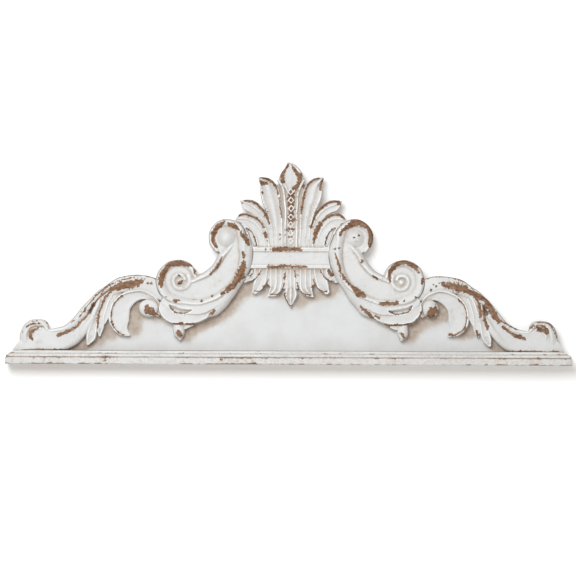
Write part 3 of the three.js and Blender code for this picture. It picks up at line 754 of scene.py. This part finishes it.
def shifted(x):
    """The place across the piece, with its middle part moved over"""
    share = np.clip((SHIFT_NONE - np.abs(x)) / (SHIFT_NONE - SHIFT_WHOLE), 0, 1)
    return x + MIDDLE_SHIFT * share * share * (3 - 2 * share)


def against_wall(x, z, h):
    """From the sheet to metres"""
    return np.column_stack([shifted(x), -h, z - SHEET_FOOT]) * MM + np.array([0, 0, ledge_high.z])


def on_board(x, z, h):
    return against_wall(x, z, h + CARVING_BACK)


PAINT_DEPTH = 0.3
# Hollows that get glaze and painted shade: how wide, how deep to count in full and their share of it
HOLLOWS = ((1.2, 0.8, 0.16), (3.6, 2.6, 0.42), (6.5, 4.5, 0.2))
# Steep slopes get more painted shade, ridges a painted highlight, and sunk recesses less painted shade
STEEP_FROM, STEEP_SPAN, STEEP_PAINTED_SHADE = 0.7, 1.6, 0.16
RIDGE_WIDTH, RIDGE_PAINTED_HIGHLIGHT = 1.6, 0.7
SUNK_LESS_SHADE = 0.8
# The wear and its unevenness
EDGE_WEAR, RIDGE_WEAR, PATCH_WEAR = 0.24, 0.11, 0.045
ROUGH_STROKE, ROUGH_EDGE = 0.17, 0.08
FINE_ROUGH, COARSE_ROUGH, PATCH_SCALE = 3.2, 9, 40
CHISEL_HEIGHT, CHISEL_SCALE = 0.12, 14
GONE_FROM, GONE_SPAN = 0.47, 0.06
SCROLL_SOFTNESS, END_SOFTNESS, CREST_SOFTNESS = 0.9, 0.75, 0.55


def carving(name, sheet, strokes, node, material, softness):
    """Finishes a carving: hand-cut unevenness, worn places with the paint's thickness gone, and the fields
    that its paint is worked out from: wear, and glaze with painted shade and a painted highlight"""
    def soft(width):
        return blur(sheet.top, width / sheet.step)

    sheet.finish(softness)
    ridge = sheet.top - soft(RIDGE_WIDTH)
    slope = np.hypot(*np.gradient(sheet.top, sheet.step))
    # Glaze and painted shade in the hollows and on steep slopes, painted shade under the bars, and a painted
    # highlight on the ridges where the value goes below zero
    painted_light_and_glaze = sum(share * np.clip((soft(width) - sheet.top) / deep, 0, 1) for width, deep, share in HOLLOWS)
    painted_light_and_glaze += STEEP_PAINTED_SHADE * np.clip((slope - STEEP_FROM) / STEEP_SPAN, 0, 1)
    painted_light_and_glaze += sheet.shade - RIDGE_PAINTED_HIGHLIGHT * np.clip(ridge / 1.1, 0, 1)
    painted_light_and_glaze *= 1 - SUNK_LESS_SHADE * sheet.sunk
    wear = worn(sheet, strokes)
    rough = 0.5 * sheet.noise(FINE_ROUGH) + 0.35 * sheet.noise(COARSE_ROUGH)
    patchy = sheet.noise(PATCH_SCALE)
    edges = EDGE_WEAR + RIDGE_WEAR * np.clip(ridge, 0, 1.2) + PATCH_WEAR * patchy
    wear = np.maximum(wear + ROUGH_STROKE * rough * (wear > 0.02), edges + ROUGH_EDGE * rough)
    gone = np.clip((wear - GONE_FROM) / GONE_SPAN, 0, 1)
    sheet.top = sheet.top + CHISEL_HEIGHT * sheet.noise(CHISEL_SCALE) - PAINT_DEPTH * gone
    piece = relief(name, sheet, on_board, {"wear": wear, "glaze_painted_shade_highlight": painted_light_and_glaze}, material)
    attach(piece, "root")
    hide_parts(node)


def sheet_over(forms, side, seed):
    """A sheet that covers the forms, given for the right side, on the side asked for"""
    reach = [[], []]
    for form in forms:
        rows = form["rows"] if "rows" in form else [[*form["centre"], form["radius"]]]
        for x, z, half, *_ in rows:
            reach[0] += [side * x - half - MARGIN, side * x + half + MARGIN]
            reach[1] += [z - half - MARGIN, z + half + MARGIN]
    return Sheet((min(reach[0]), min(reach[1])), (max(reach[0]), max(reach[1])), GRID, seed)


def cut_by(sheet, forms):
    """Cuts the sheet's silhouette back from a neighbour that was carved over it"""
    other = np.full(sheet.inside.shape, OUTSIDE)
    for form in forms:
        if "rows" in form:
            offset, half, _ = sheet.follow(form["rows"])
            other = np.maximum(other, half - np.abs(offset))
        else:
            distance = np.hypot(sheet.x - form["centre"][0], sheet.z - form["centre"][1])
            other = np.maximum(other, form["radius"] - distance)
    sheet.inside = np.minimum(sheet.inside, -other - CLEARANCE)


def strokes_for(table, side):
    return [rows_on(side, rows) for rows in table[SIDES[side]]]


def c_scroll(side, material):
    sheet = sheet_over(SCROLL_FORMS, side, SEED + side)
    for form in forms_on(side, SCROLL_FORMS):
        sheet.lay(form)
    sheet.sink(SCROLL_SLOT_FLOOR, rows_on(side, SCROLL_SLOT), SLOT_GENTLE_WALL, side)
    carving(SIDES[side] + "_c_scroll_carving", sheet, strokes_for(SCROLL_WEAR, side),
            SIDES[side] + "_scroll", material, SCROLL_SOFTNESS)


def end_scroll(side, material):
    sheet = sheet_over(END_FORMS, side, SEED + 10 * side)
    for form in forms_on(side, END_FORMS):
        sheet.lay(form)
    cut_by(sheet, forms_on(side, SCROLL_FORMS))
    sheet.inside = np.minimum(sheet.inside, sheet.flat_z - SHEET_FOOT - CLEARANCE)
    carving(SIDES[side] + "_acanthus_carving", sheet, strokes_for(END_WEAR, side),
            SIDES[side] + "_end_scroll", material, END_SOFTNESS)


def lay_bead(sheet, z):
    """A lozenge with a raised edge and a dished middle"""
    part = sheet.window(-BEAD_ACROSS - 1, BEAD_ACROSS + 1, z - BEAD_UP - 1, z + BEAD_UP + 1)
    size = np.abs(sheet.x[part]) / BEAD_ACROSS + np.abs(sheet.z[part] - z) / BEAD_UP
    height = BEAD_TOP - BEAD_DISH * np.abs(np.clip(size, 0, 1) - BEAD_EDGE)
    sheet.merge((1 - size) * BEAD_ACROSS * BEAD_SLANT, height, part)
    edge = np.clip(2 - np.abs(size - 0.74) / 0.14, 0, 1)
    sheet.kept[part] = np.maximum(sheet.kept[part], edge)


CREST_MARGIN = 3


def crest_carving(material):
    foot = SHEET_FOOT - CREST_MARGIN
    head = SHEET_FOOT + CREST_MARGIN
    sheet = Sheet((crest_low.x / MM - CREST_MARGIN, (crest_low.z - ledge_high.z) / MM + foot),
                  (crest_high.x / MM + CREST_MARGIN, (crest_high.z - ledge_high.z) / MM + head), GRID, SEED)
    for low, high, top in CREST_BARS:
        inside = np.minimum(np.minimum(sheet.flat_z - low, high - sheet.flat_z),
                            CREST_BAR_HALF - np.abs(sheet.flat_x))
        sheet.merge(inside, top - BAR_ROUNDING * np.exp(-np.maximum(inside, 0) / BAR_ROUND_RUN))
    web = inside_outline(sheet, [*CREST_WEB, *reversed(mirrored(CREST_WEB[1:]))])
    sheet.merge(web, np.full(web.shape, CREST_WEB_HEIGHT))
    for form in [*CREST_PAIRS, *map(turned, CREST_PAIRS), *CREST_MIDDLE]:
        sheet.lay(form)
    for z in BEAD_ROWS:
        lay_bead(sheet, z)
    for rows in CREST_SLOTS:
        sheet.sink(CREST_SLOT_FLOOR, rows)
        sheet.sink(CREST_SLOT_FLOOR, mirrored(rows))
    cut_by(sheet, forms_on(1, SCROLL_FORMS) + forms_on(-1, SCROLL_FORMS))
    # Painted shade on the crest just under the lowest bar
    under_bar = CREST_BARS[0][0] - sheet.flat_z
    shade = BAR_SHADE * np.where(under_bar > 0, np.exp(-(under_bar / BAR_SHADE_REACH) ** 2), 0)
    sheet.shade = shade * (np.abs(sheet.flat_x) < BAR_SHADE_HALF)
    strokes = strokes_for(CREST_WEAR, -1) + strokes_for(CREST_WEAR, 1) + CREST_MIDDLE_WEAR
    carving("palmette_crest_carving", sheet, strokes, "crest", material, CREST_SOFTNESS)


# Board
FIELD_EDGE = [
    [500, 25], [470, 42], [440, 50], [407, 65], [383, 95], [361, 128.5], [346, 141.5], [330, 149.5],
    [286, 155], [255, 150], [225, 162], [196, 150], [165, 146], [142, 164], [124, 194], [112, 222], [92, 252],
    [80, 268], [62, 268], [64, 290], [46, 292], [44, 325], [37, 336], [19, 342],
]
BACKED = [
    boss(TOP_EYE[0], TOP_EYE[1], 36, 0, 1), boss(LOW_EYE[0] + 5.5, LOW_EYE[1] - 4, 40, 0, 1),
    boss(480, 58, 20, 0, 1), band("flat", SCROLL_NECK), END_FOOT, END_HUMP, END_SLOPE, END_CURL,
]


def backing(form):
    """The flat piece of board behind a form, set in from its edge"""
    if "rows" not in form:
        return {**form, "radius": form["radius"] - BOARD_INSET, "height": BOARD_THICKNESS}
    return band("flat", [[x, z, half - BOARD_INSET, BOARD_THICKNESS]
                         for x, z, half, _ in form["rows"] if half > BOARD_INSET + 1])


def inside_outline(sheet, outline):
    """Distance to a closed outline, positive inside it"""
    closed = [*outline, outline[0]]
    nearest = np.full(sheet.x.shape, np.inf)
    within = np.zeros(sheet.x.shape, bool)
    for (x0, z0), (x1, z1) in zip(closed[:-1], closed[1:]):
        step_x, step_z = x1 - x0, z1 - z0
        x, z = sheet.flat_x - x0, sheet.flat_z - z0
        share = np.clip((x * step_x + z * step_z) / (step_x ** 2 + step_z ** 2), 0, 1)
        nearest = np.minimum(nearest, np.hypot(x - share * step_x, z - share * step_z))
        if z0 != z1:
            crosses = (sheet.flat_z >= min(z0, z1)) & (sheet.flat_z < max(z0, z1))
            within ^= crosses & (x < z * step_x / step_z)
    return np.where(within, nearest, -nearest)


# Painted shade in the board's corners: strokes of [x, z, half width, strength]
BOARD_CORNER_SHADE = [
    [[-425, 25, 5, 1.6], [-400, 32, 9, 1.4], [-378, 42, 9, 0.8]],
    [[-290, 112, 8, 1.0], [-286, 90, 9, 0.7], [-287, 62, 9, 0.45]],
    [[-350, 62, 8, 0.8], [-332, 52, 8, 0.45]],
    [[-100, 135, 7, 0.4], [-130, 98, 8, 0.35], [-165, 74, 8, 0.3], [-200, 58, 8, 0.3]],
    [[425, 25, 5, 1.6], [402, 32, 9, 1.4], [385, 42, 8, 0.9]],
    [[300, 92, 7, 1.2], [292, 106, 7, 1.2], [288, 112, 5, 0.9]],
    [[345, 62, 8, 0.8], [332, 54, 8, 0.4]],
    [[270, 78, 9, 0.4], [250, 68, 9, 0.35], [232, 58, 8, 0.3]],
    [[-85, 142, 6, 0.5], [-70, 134, 7, 0.35]],
    [[85, 142, 6, 0.5], [70, 132, 7, 0.4], [50, 128, 7, 0.3], [22, 118, 7, 0.3]],
]


def soft_strokes(sheet, strokes):
    """The strength of the nearest stroke at each point, fading out beyond its half width"""
    total = np.zeros(sheet.x.shape)
    for rows in strokes:
        offset, half, strength = sheet.follow(rows, 3 * REACH)
        total = np.maximum(total, strength * np.exp(-(offset / (1.3 * half)) ** 2))
    return total


# Painted light that the carvings leave on the board: a painted cast shadow, painted shade near them and
# painted lightening right at their edge
SHADE_ROLL = (-4, 8)
TALL_FORM = 16
CAST_BLUR, PAINTED_CAST_SHADOW, CAST_FROM, CAST_MOST = 8, 1.15, 0.06, 0.8
WIDE_BLUR, WIDE_PAINTED_SHADE = 24, 0.3
CONTACT_BLUR, CONTACT_PAINTED_LIGHT, CONTACT_FROM = 3, 1.1, 0.1
PAINTED_LIGHT_LOW, PAINTED_LIGHT_HIGH = -0.6, 1
BOARD_WEAR = 0.1


def board_painted_shade(sheet):
    cover = Sheet(sheet.low, sheet.high, BOARD_GRID, SEED + 6)
    for form in [*SCROLL_FORMS, *END_FORMS, *CREST_PAIRS]:
        cover.lay(form)
        cover.lay(turned(form))
    for form in CREST_MIDDLE:
        cover.lay(form)
    laid = (cover.inside > 0).astype(float)
    laid *= np.clip(cover.top / TALL_FORM, 0, 1)
    cast = blur(np.roll(laid, SHADE_ROLL, axis=(0, 1)), CAST_BLUR / BOARD_GRID)
    contact = blur(laid, CONTACT_BLUR / BOARD_GRID)
    wide = blur(laid, WIDE_BLUR / BOARD_GRID)
    painted_shade = np.clip(PAINTED_CAST_SHADOW * cast - CAST_FROM, 0, CAST_MOST) + WIDE_PAINTED_SHADE * wide
    painted_shade += soft_strokes(sheet, BOARD_CORNER_SHADE)
    painted_shade *= 1 + 0.1 * sheet.noise(24)
    # Lighter right at the carvings' edge: painted light against the shade there
    painted_shade -= CONTACT_PAINTED_LIGHT * np.clip(contact - CONTACT_FROM, 0, 1)
    return np.clip(painted_shade, PAINTED_LIGHT_LOW, PAINTED_LIGHT_HIGH)


def back_board(material):
    half_span, tall = board_high.x / MM, (board_high.z - ledge_high.z) / MM + SHEET_FOOT
    sheet = Sheet((-half_span - MARGIN, SHEET_FOOT - MARGIN), (half_span + MARGIN, tall + MARGIN), BOARD_GRID,
                  SEED + 5)
    sheet.x, sheet.z = sheet.flat_x, sheet.flat_z
    outline = [*FIELD_EDGE, *reversed(mirrored(FIELD_EDGE))]
    sheet.merge(inside_outline(sheet, outline), np.full(sheet.x.shape, BOARD_THICKNESS))
    for form in map(backing, [*BACKED, band("scoop", BUD)]):
        sheet.lay(form)
        sheet.lay(turned(form))
    sheet.inside = np.minimum(sheet.inside, sheet.flat_z - SHEET_FOOT - CLEARANCE)
    sheet.top = np.full(sheet.x.shape, BOARD_THICKNESS)
    fields = {"wear": np.full(sheet.x.shape, BOARD_WEAR), "glaze_painted_shade_highlight": board_painted_shade(sheet)}
    piece = relief("board_panel", sheet, against_wall, fields, material)
    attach(piece, "root")
    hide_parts("back_board")


# Ledge: levels [set in from the fascia, height, wear, glaze and painted shade, below zero a painted
# highlight], the same at the front and at both ends
LEDGE_LEVELS = [
    (0.9, 0.0, 0.46, 0.0), (0.25, 0.25, 0.52, 0.0), (0.0, 0.9, 0.46, 0.0), (0.0, 1.8, 0.34, 0.0),
    (0.0, 3.5, 0.25, 0.0), (0.0, 6.0, 0.24, 0.0), (0.0, 8.5, 0.24, 0.0), (0.0, 10.6, 0.3, 0.0),
    (0.1, 11.6, 0.4, 0.1), (0.45, 12.15, 0.42, 0.4), (1.2, 12.4, 0.34, 0.9), (2.2, 12.5, 0.3, 1.0),
    (2.4, 12.8, 0.3, 1.0), (2.3, 13.3, 0.3, 0.9), (1.7, 13.8, 0.26, 0.5), (1.4, 14.4, 0.28, 0.1),
    (1.35, 15.2, 0.3, 0.0), (1.7, 16.2, 0.2, -0.3), (2.6, 17.2, 0.16, -0.4), (4.0, 18.1, 0.16, -0.3),
    (5.6, 18.9, 0.2, 0.0), (7.2, 19.5, 0.3, 0.35), (8.0, 19.8, 0.34, 0.45), (8.2, 20.3, 0.38, 0.0),
    (8.5, 20.8, 0.34, -0.2), (9.2, 21.5, 0.2, -0.4), (10.4, 22.6, 0.16, -0.4), (11.6, 23.6, 0.16, -0.4),
    (12.8, 24.5, 0.2, -0.2), (13.5, 24.85, 0.33, 0.15), (14.2, 25.0, 0.4, 0.5),
]
LEDGE_STATION = 2.0
LEDGE_END_STATIONS = 16
LONG_NOISE, SHORT_NOISE, SPECK_NOISE = (50, 0.075), (9, 0.07), (3, 0.05)
CORNER_WEAR, CORNER_REACH = 0.16, 2.5
DENT_DEPTH, DENT_ROUGHNESS, DEEPEST_DENT = 0.25, 0.06, 0.5


def dented(x, y, x_out, dent):
    """A point of the ledge pushed in by a dent, at its ends sideways and at its front backwards"""
    at_end = abs(x) > x_out - 0.01
    return (math.copysign(max(abs(x) - dent, 0), x) if at_end else x, min(y + (dent if y < -1 else 0), 0.0))


def ledge_moulding(material):
    """The profile swept along the left end, the front and the right end, with mitred corners"""
    half = (ledge_high.x - ledge_low.x) / 2 / MM
    depth = -ledge_low.y / MM
    front = int(2 * half / LEDGE_STATION)
    shares = np.arange(LEDGE_END_STATIONS) / LEDGE_END_STATIONS
    levels = np.array(LEDGE_LEVELS)
    levels[:, 1] *= (ledge_high.z - ledge_low.z) / MM / levels[-1, 1]
    sheet = Sheet((-half - depth, 0), (half + depth, 26), 1.0, SEED + 7)
    noises = [(sheet.noise(scale), size) for scale, size in (LONG_NOISE, SHORT_NOISE, SPECK_NOISE)]
    points, wear, glaze_and_painted_light = [], [], []
    for setback, height, wearing, glaze_and_light_level in levels:
        x_out, y_out = half - setback, depth - setback
        left = [(-x_out, -y_out * share) for share in shares]
        middle = [(-x_out + 2 * x_out * i / front, -y_out) for i in range(front)]
        right = [(x_out, -y_out * (1 - share)) for share in (*shares, 1.0)]
        path = [*left, *middle, *right]
        column = np.array([x + np.sign(x) * (depth + y) for x, y in path]) + half + depth
        rough = [(bilinear(field, column, np.full(len(path), height)), size) for field, size in noises]
        x, y = np.array(path).T
        corner = np.exp(-np.abs(np.abs(x) - x_out) / CORNER_REACH) * (y < 3 - y_out)
        value = wearing + sum(size * noise for noise, size in rough) + CORNER_WEAR * corner
        dents = DENT_DEPTH * np.clip((value - GONE_FROM) / GONE_SPAN, 0, 1)
        dents += DENT_ROUGHNESS * np.clip(rough[1][0], -1, 2)
        for place, dent in zip(path, np.clip(dents, 0, DEEPEST_DENT)):
            points.append((*dented(*place, x_out, dent), height))
        wear += list(value)
        # Glaze and painted shade in the groove, a painted highlight on the faces turned up
        glaze_and_painted_light += list(glaze_and_light_level * (0.75 + 0.2 * rough[0][0]))
    count = len(path)
    starts = [level * count for level in range(len(levels))]
    faces = [(low + i, low + i + 1, low + i + 1 + count, low + i + count)
             for low in starts[:-1] for i in range(count - 1)]
    faces.append(list(reversed(range(count))))
    faces.append([starts[-1] + i for i in range(count)])
    faces.append(starts + [start + count - 1 for start in reversed(starts)])
    mesh = bpy.data.meshes.new("ledge_profile")
    mesh.from_pydata([(x * MM, y * MM, z * MM + ledge_low.z) for x, y, z in points], [], faces)
    piece = painted("ledge_profile", mesh, {"wear": wear, "glaze_painted_shade_highlight": glaze_and_painted_light}, LEDGE_CREASE, material)
    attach(piece, "root")
    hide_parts("ledge_moulding")


# Paint
class Nodes:
    """A short way to write node trees"""

    def __init__(self, name):
        self.material = bpy.data.materials.new(name)
        self.material.use_nodes = True
        self.tree = self.material.node_tree
        self.shader = self.tree.nodes["Principled BSDF"]

    def add(self, kind, inputs=None, **settings):
        node = self.tree.nodes.new(kind)
        for key, value in settings.items():
            setattr(node, key, value)
        for key, value in (inputs or {}).items():
            self.put(node.inputs[key], value)
        return node

    def put(self, socket, value):
        if isinstance(value, bpy.types.NodeSocket):
            self.tree.links.new(value, socket)
        else:
            socket.default_value = value

    def noise(self, place, scale, detail, rough=0.55):
        inputs = {"Vector": place, "Scale": scale, "Detail": detail, "Roughness": rough}
        return self.add("ShaderNodeTexNoise", inputs).outputs["Fac"]

    def math(self, operation, a, b, clamp=False):
        return self.add("ShaderNodeMath", {0: a, 1: b}, operation=operation, use_clamp=clamp).outputs[0]

    def swing(self, noise, size):
        """A noise centred on 0 and scaled"""
        return self.math("MULTIPLY", self.math("SUBTRACT", noise, 0.5), size)

    def ramp(self, value, low, high, to_low=0.0, to_high=1.0):
        inputs = {"Value": value, "From Min": low, "From Max": high, "To Min": to_low, "To Max": to_high}
        return self.add("ShaderNodeMapRange", inputs, interpolation_type="SMOOTHSTEP").outputs[0]

    def mix(self, share, a, b):
        node = self.add("ShaderNodeMix", data_type="RGBA")
        self.put(node.inputs[0], share)
        self.put(node.inputs[6], a)
        self.put(node.inputs[7], b)
        return node.outputs[2]

    def attribute(self, name):
        return self.add("ShaderNodeAttribute", attribute_name=name).outputs["Fac"]

    def surface(self, colour, roughness):
        self.put(self.shader.inputs["Base Color"], colour)
        self.put(self.shader.inputs["Roughness"], roughness)


PAINT = (0.67, 0.665, 0.66, 1)
PAINT_COOL = (0.625, 0.62, 0.615, 1)
# A painted highlight for ridges and for faces turned up to the light
PAINTED_HIGHLIGHT = (0.9, 0.895, 0.885, 1)
BOARD_PAINT = (0.675, 0.675, 0.675, 1)
# Taupe is thin paint, mottling and, in hollows, glaze with painted shade; the darkest brown is glaze with
# deep painted shade
TAUPE = (0.46, 0.385, 0.325, 1)
GLAZE_AND_DEEP_SHADE = (0.25, 0.155, 0.1, 1)
WOOD_DARK = (0.125, 0.062, 0.033, 1)
WOOD_LIGHT = (0.32, 0.175, 0.1, 1)


# Scales of the noises, the grain's along each axis, and how far the noises move the edge of the wear
FINE, RAGGED, SPECKS, MEDIUM, BROAD = 900.0, 330.0, 210.0, 130.0, 22.0
GRAIN = (90.0, 90.0, 420.0)
FINE_SWING, RAGGED_SWING, SPECK_WEAR = 0.14, 0.24, 0.17
WORN_FROM, WORN_TO = 0.475, 0.515
PAINT_ROUGHNESS, WOOD_ROUGHNESS = 0.56, 0.78
SPECULAR = 0.3
BUMP_DEPTH = 0.0006


def distressed_paint(name, paint, shade_and_glaze_strength, bump, mottle=0.0):
    """Matt paint with a brown glaze and painted shade in its hollows, a painted highlight on its ridges, worn
    through to the wood
    """
    nodes = Nodes(name)
    place = nodes.add("ShaderNodeTexCoord").outputs["Object"]
    fine = nodes.noise(place, FINE, 2.0)
    ragged = nodes.noise(place, RAGGED, 3.0)
    medium = nodes.noise(place, MEDIUM, 4.0)
    broad = nodes.noise(place, BROAD, 3.0)
    noise = nodes.math("ADD", nodes.swing(fine, FINE_SWING), nodes.swing(ragged, RAGGED_SWING))
    speck = nodes.math("MULTIPLY", nodes.ramp(nodes.noise(place, SPECKS, 2.0), 0.68, 0.76), SPECK_WEAR)
    wear = nodes.math("ADD", nodes.attribute("wear"), nodes.math("ADD", noise, speck))
    worn_through = nodes.ramp(wear, WORN_FROM, WORN_TO)
    rubbed = nodes.ramp(wear, 0.27, 0.5, 0.0, 0.5)
    grain_place = nodes.add("ShaderNodeMapping", {"Vector": place, "Scale": GRAIN}).outputs[0]
    grain = nodes.noise(grain_place, 1.0, 5.0, 0.7)
    wood = nodes.mix(nodes.ramp(grain, 0.34, 0.68), WOOD_DARK, WOOD_LIGHT)
    wood = nodes.mix(nodes.ramp(medium, 0.5, 0.72, 0.0, 0.35), wood, TAUPE)
    coat = nodes.mix(nodes.ramp(broad, 0.3, 0.7), paint, PAINT_COOL)
    blotches = nodes.math("ADD", ragged, nodes.math("MULTIPLY", medium, 0.6))
    coat = nodes.mix(nodes.ramp(blotches, 0.72, 1.0, 0.0, mottle), coat, TAUPE)
    form = nodes.attribute("glaze_painted_shade_highlight")
    # A painted highlight where the shading attribute goes below zero
    coat = nodes.mix(nodes.ramp(form, -0.05, -0.7), coat, PAINTED_HIGHLIGHT)
    thin = nodes.mix(rubbed, coat, TAUPE)
    # Glaze and painted shade where the shading attribute is above zero
    painted_light_and_glaze = nodes.math("MULTIPLY", form, nodes.ramp(medium, 0.25, 0.65, 0.7, 1.15))
    painted_light_and_glaze = nodes.math("MULTIPLY", painted_light_and_glaze, shade_and_glaze_strength, clamp=True)
    glazed_and_shaded = nodes.mix(nodes.ramp(painted_light_and_glaze, 0.02, 0.5), thin, TAUPE)
    glazed_and_shaded = nodes.mix(nodes.ramp(painted_light_and_glaze, 0.45, 1.0), glazed_and_shaded, GLAZE_AND_DEEP_SHADE)
    roughness = nodes.ramp(worn_through, 0.0, 1.0, PAINT_ROUGHNESS, WOOD_ROUGHNESS)
    nodes.surface(nodes.mix(worn_through, glazed_and_shaded, wood), roughness)
    nodes.shader.inputs["Specular IOR Level"].default_value = SPECULAR
    height = nodes.math("ADD", nodes.math("MULTIPLY", medium, 0.6), nodes.math("MULTIPLY", ragged, 0.4))
    height = nodes.math("SUBTRACT", height, nodes.math("MULTIPLY", worn_through, 0.5))
    inputs = {"Height": height, "Strength": bump, "Distance": BUMP_DEPTH}
    nodes.put(nodes.shader.inputs["Normal"], nodes.add("ShaderNodeBump", inputs).outputs[0])
    return nodes.material


carving_paint = distressed_paint("distressed_carving_paint", PAINT, 0.8, 0.5)
ledge_paint = distressed_paint("distressed_ledge_paint", PAINT, 0.9, 0.5, 0.5)
board_paint = distressed_paint("smooth_board_paint", BOARD_PAINT, 0.6, 0.25)

back_board(board_paint)
ledge_moulding(ledge_paint)
crest_carving(carving_paint)
for side in (-1, 1):
    c_scroll(side, carving_paint)
    end_scroll(side, carving_paint)


# Stage: a white wall just behind the piece, seen only from its front, and a pale floor below
WALL_GAP, WALL_SIZE, WALL_GLOW = 0.0015, 6.0, 0.11
FLOOR_DROP, FLOOR_SIZE = 0.75, 12.0


def plane(name, size, location, rotation, material):
    mesh = bpy.data.meshes.new(name)
    a = size / 2
    mesh.from_pydata([(-a, -a, 0), (a, -a, 0), (a, a, 0), (-a, a, 0)], [], [(0, 1, 2, 3)])
    mesh.materials.append(material)
    piece = placed(name, mesh)
    piece.location = location
    piece.rotation_euler = rotation
    return piece


def stage():
    nodes = Nodes("white_wall")
    nodes.surface((0.96, 0.96, 0.955, 1), 0.9)
    nodes.shader.inputs["Specular IOR Level"].default_value = 0.1
    nodes.shader.inputs["Emission Color"].default_value = (1, 1, 1, 1)
    nodes.shader.inputs["Emission Strength"].default_value = WALL_GLOW
    behind = nodes.add("ShaderNodeNewGeometry").outputs["Backfacing"]
    clear = nodes.add("ShaderNodeBsdfTransparent").outputs[0]
    mixed = nodes.add("ShaderNodeMixShader", {0: behind, 1: nodes.shader.outputs[0], 2: clear}).outputs[0]
    nodes.put(nodes.tree.nodes["Material Output"].inputs["Surface"], mixed)
    wall = plane("wall", WALL_SIZE, (0, cad_high.y + WALL_GAP, 0), (math.radians(90), 0, 0), nodes.material)
    wall.visible_diffuse = False
    wall.visible_glossy = False
    wall.visible_shadow = False
    nodes = Nodes("pale_floor")
    nodes.surface((0.85, 0.85, 0.84, 1), 0.8)
    plane("floor", FLOOR_SIZE, (0, 0, cad_low.z - FLOOR_DROP), (0, 0, 0), nodes.material)


PHOTO_PIXELS = 576
MM_PER_PIXEL = 1.882
SENSOR = 36.0
CAMERA_DISTANCE = 5.0
FACE_DEPTH = 0.04
VIEW_CENTRE_X = -1.7
VIEW_CENTRE_UP = 144.0
PHOTO_ROLL = math.radians(0.22)


def camera():
    data = bpy.data.cameras.new("camera")
    data.sensor_width = SENSOR
    data.lens = SENSOR * CAMERA_DISTANCE / (PHOTO_PIXELS * MM_PER_PIXEL * MM)
    eye = placed("camera", data)
    eye.location = (VIEW_CENTRE_X * MM, -CAMERA_DISTANCE - FACE_DEPTH, ledge_low.z + VIEW_CENTRE_UP * MM)
    eye.rotation_euler = (math.radians(90), -PHOTO_ROLL, 0)
    bpy.context.scene.camera = eye


# A cool key light from above the front's left, and a warm sky
KEY_PLACE, KEY_SIZE, KEY_POWER, KEY_COLOUR = (-0.64, -2.6, 1.2), 1.4, 66.5, (0.9, 0.965, 1.0)
SKY_COLOUR, SKY_STRENGTH = (1.0, 0.925, 0.86, 1), 0.49


def lights():
    light = bpy.data.lights.new("key", "AREA")
    light.size = KEY_SIZE
    light.energy = KEY_POWER
    light.color = KEY_COLOUR
    lamp = placed("key", light)
    lamp.location = KEY_PLACE
    lamp.rotation_euler = (-Vector(KEY_PLACE)).to_track_quat("-Z", "Y").to_euler()
    world = bpy.data.worlds.new("studio")
    bpy.context.scene.world = world
    world.use_nodes = True
    sky = world.node_tree.nodes["Background"].inputs
    sky["Color"].default_value = SKY_COLOUR
    sky["Strength"].default_value = SKY_STRENGTH


stage()
camera()
lights()
bpy.context.scene.view_settings.view_transform = "Standard"
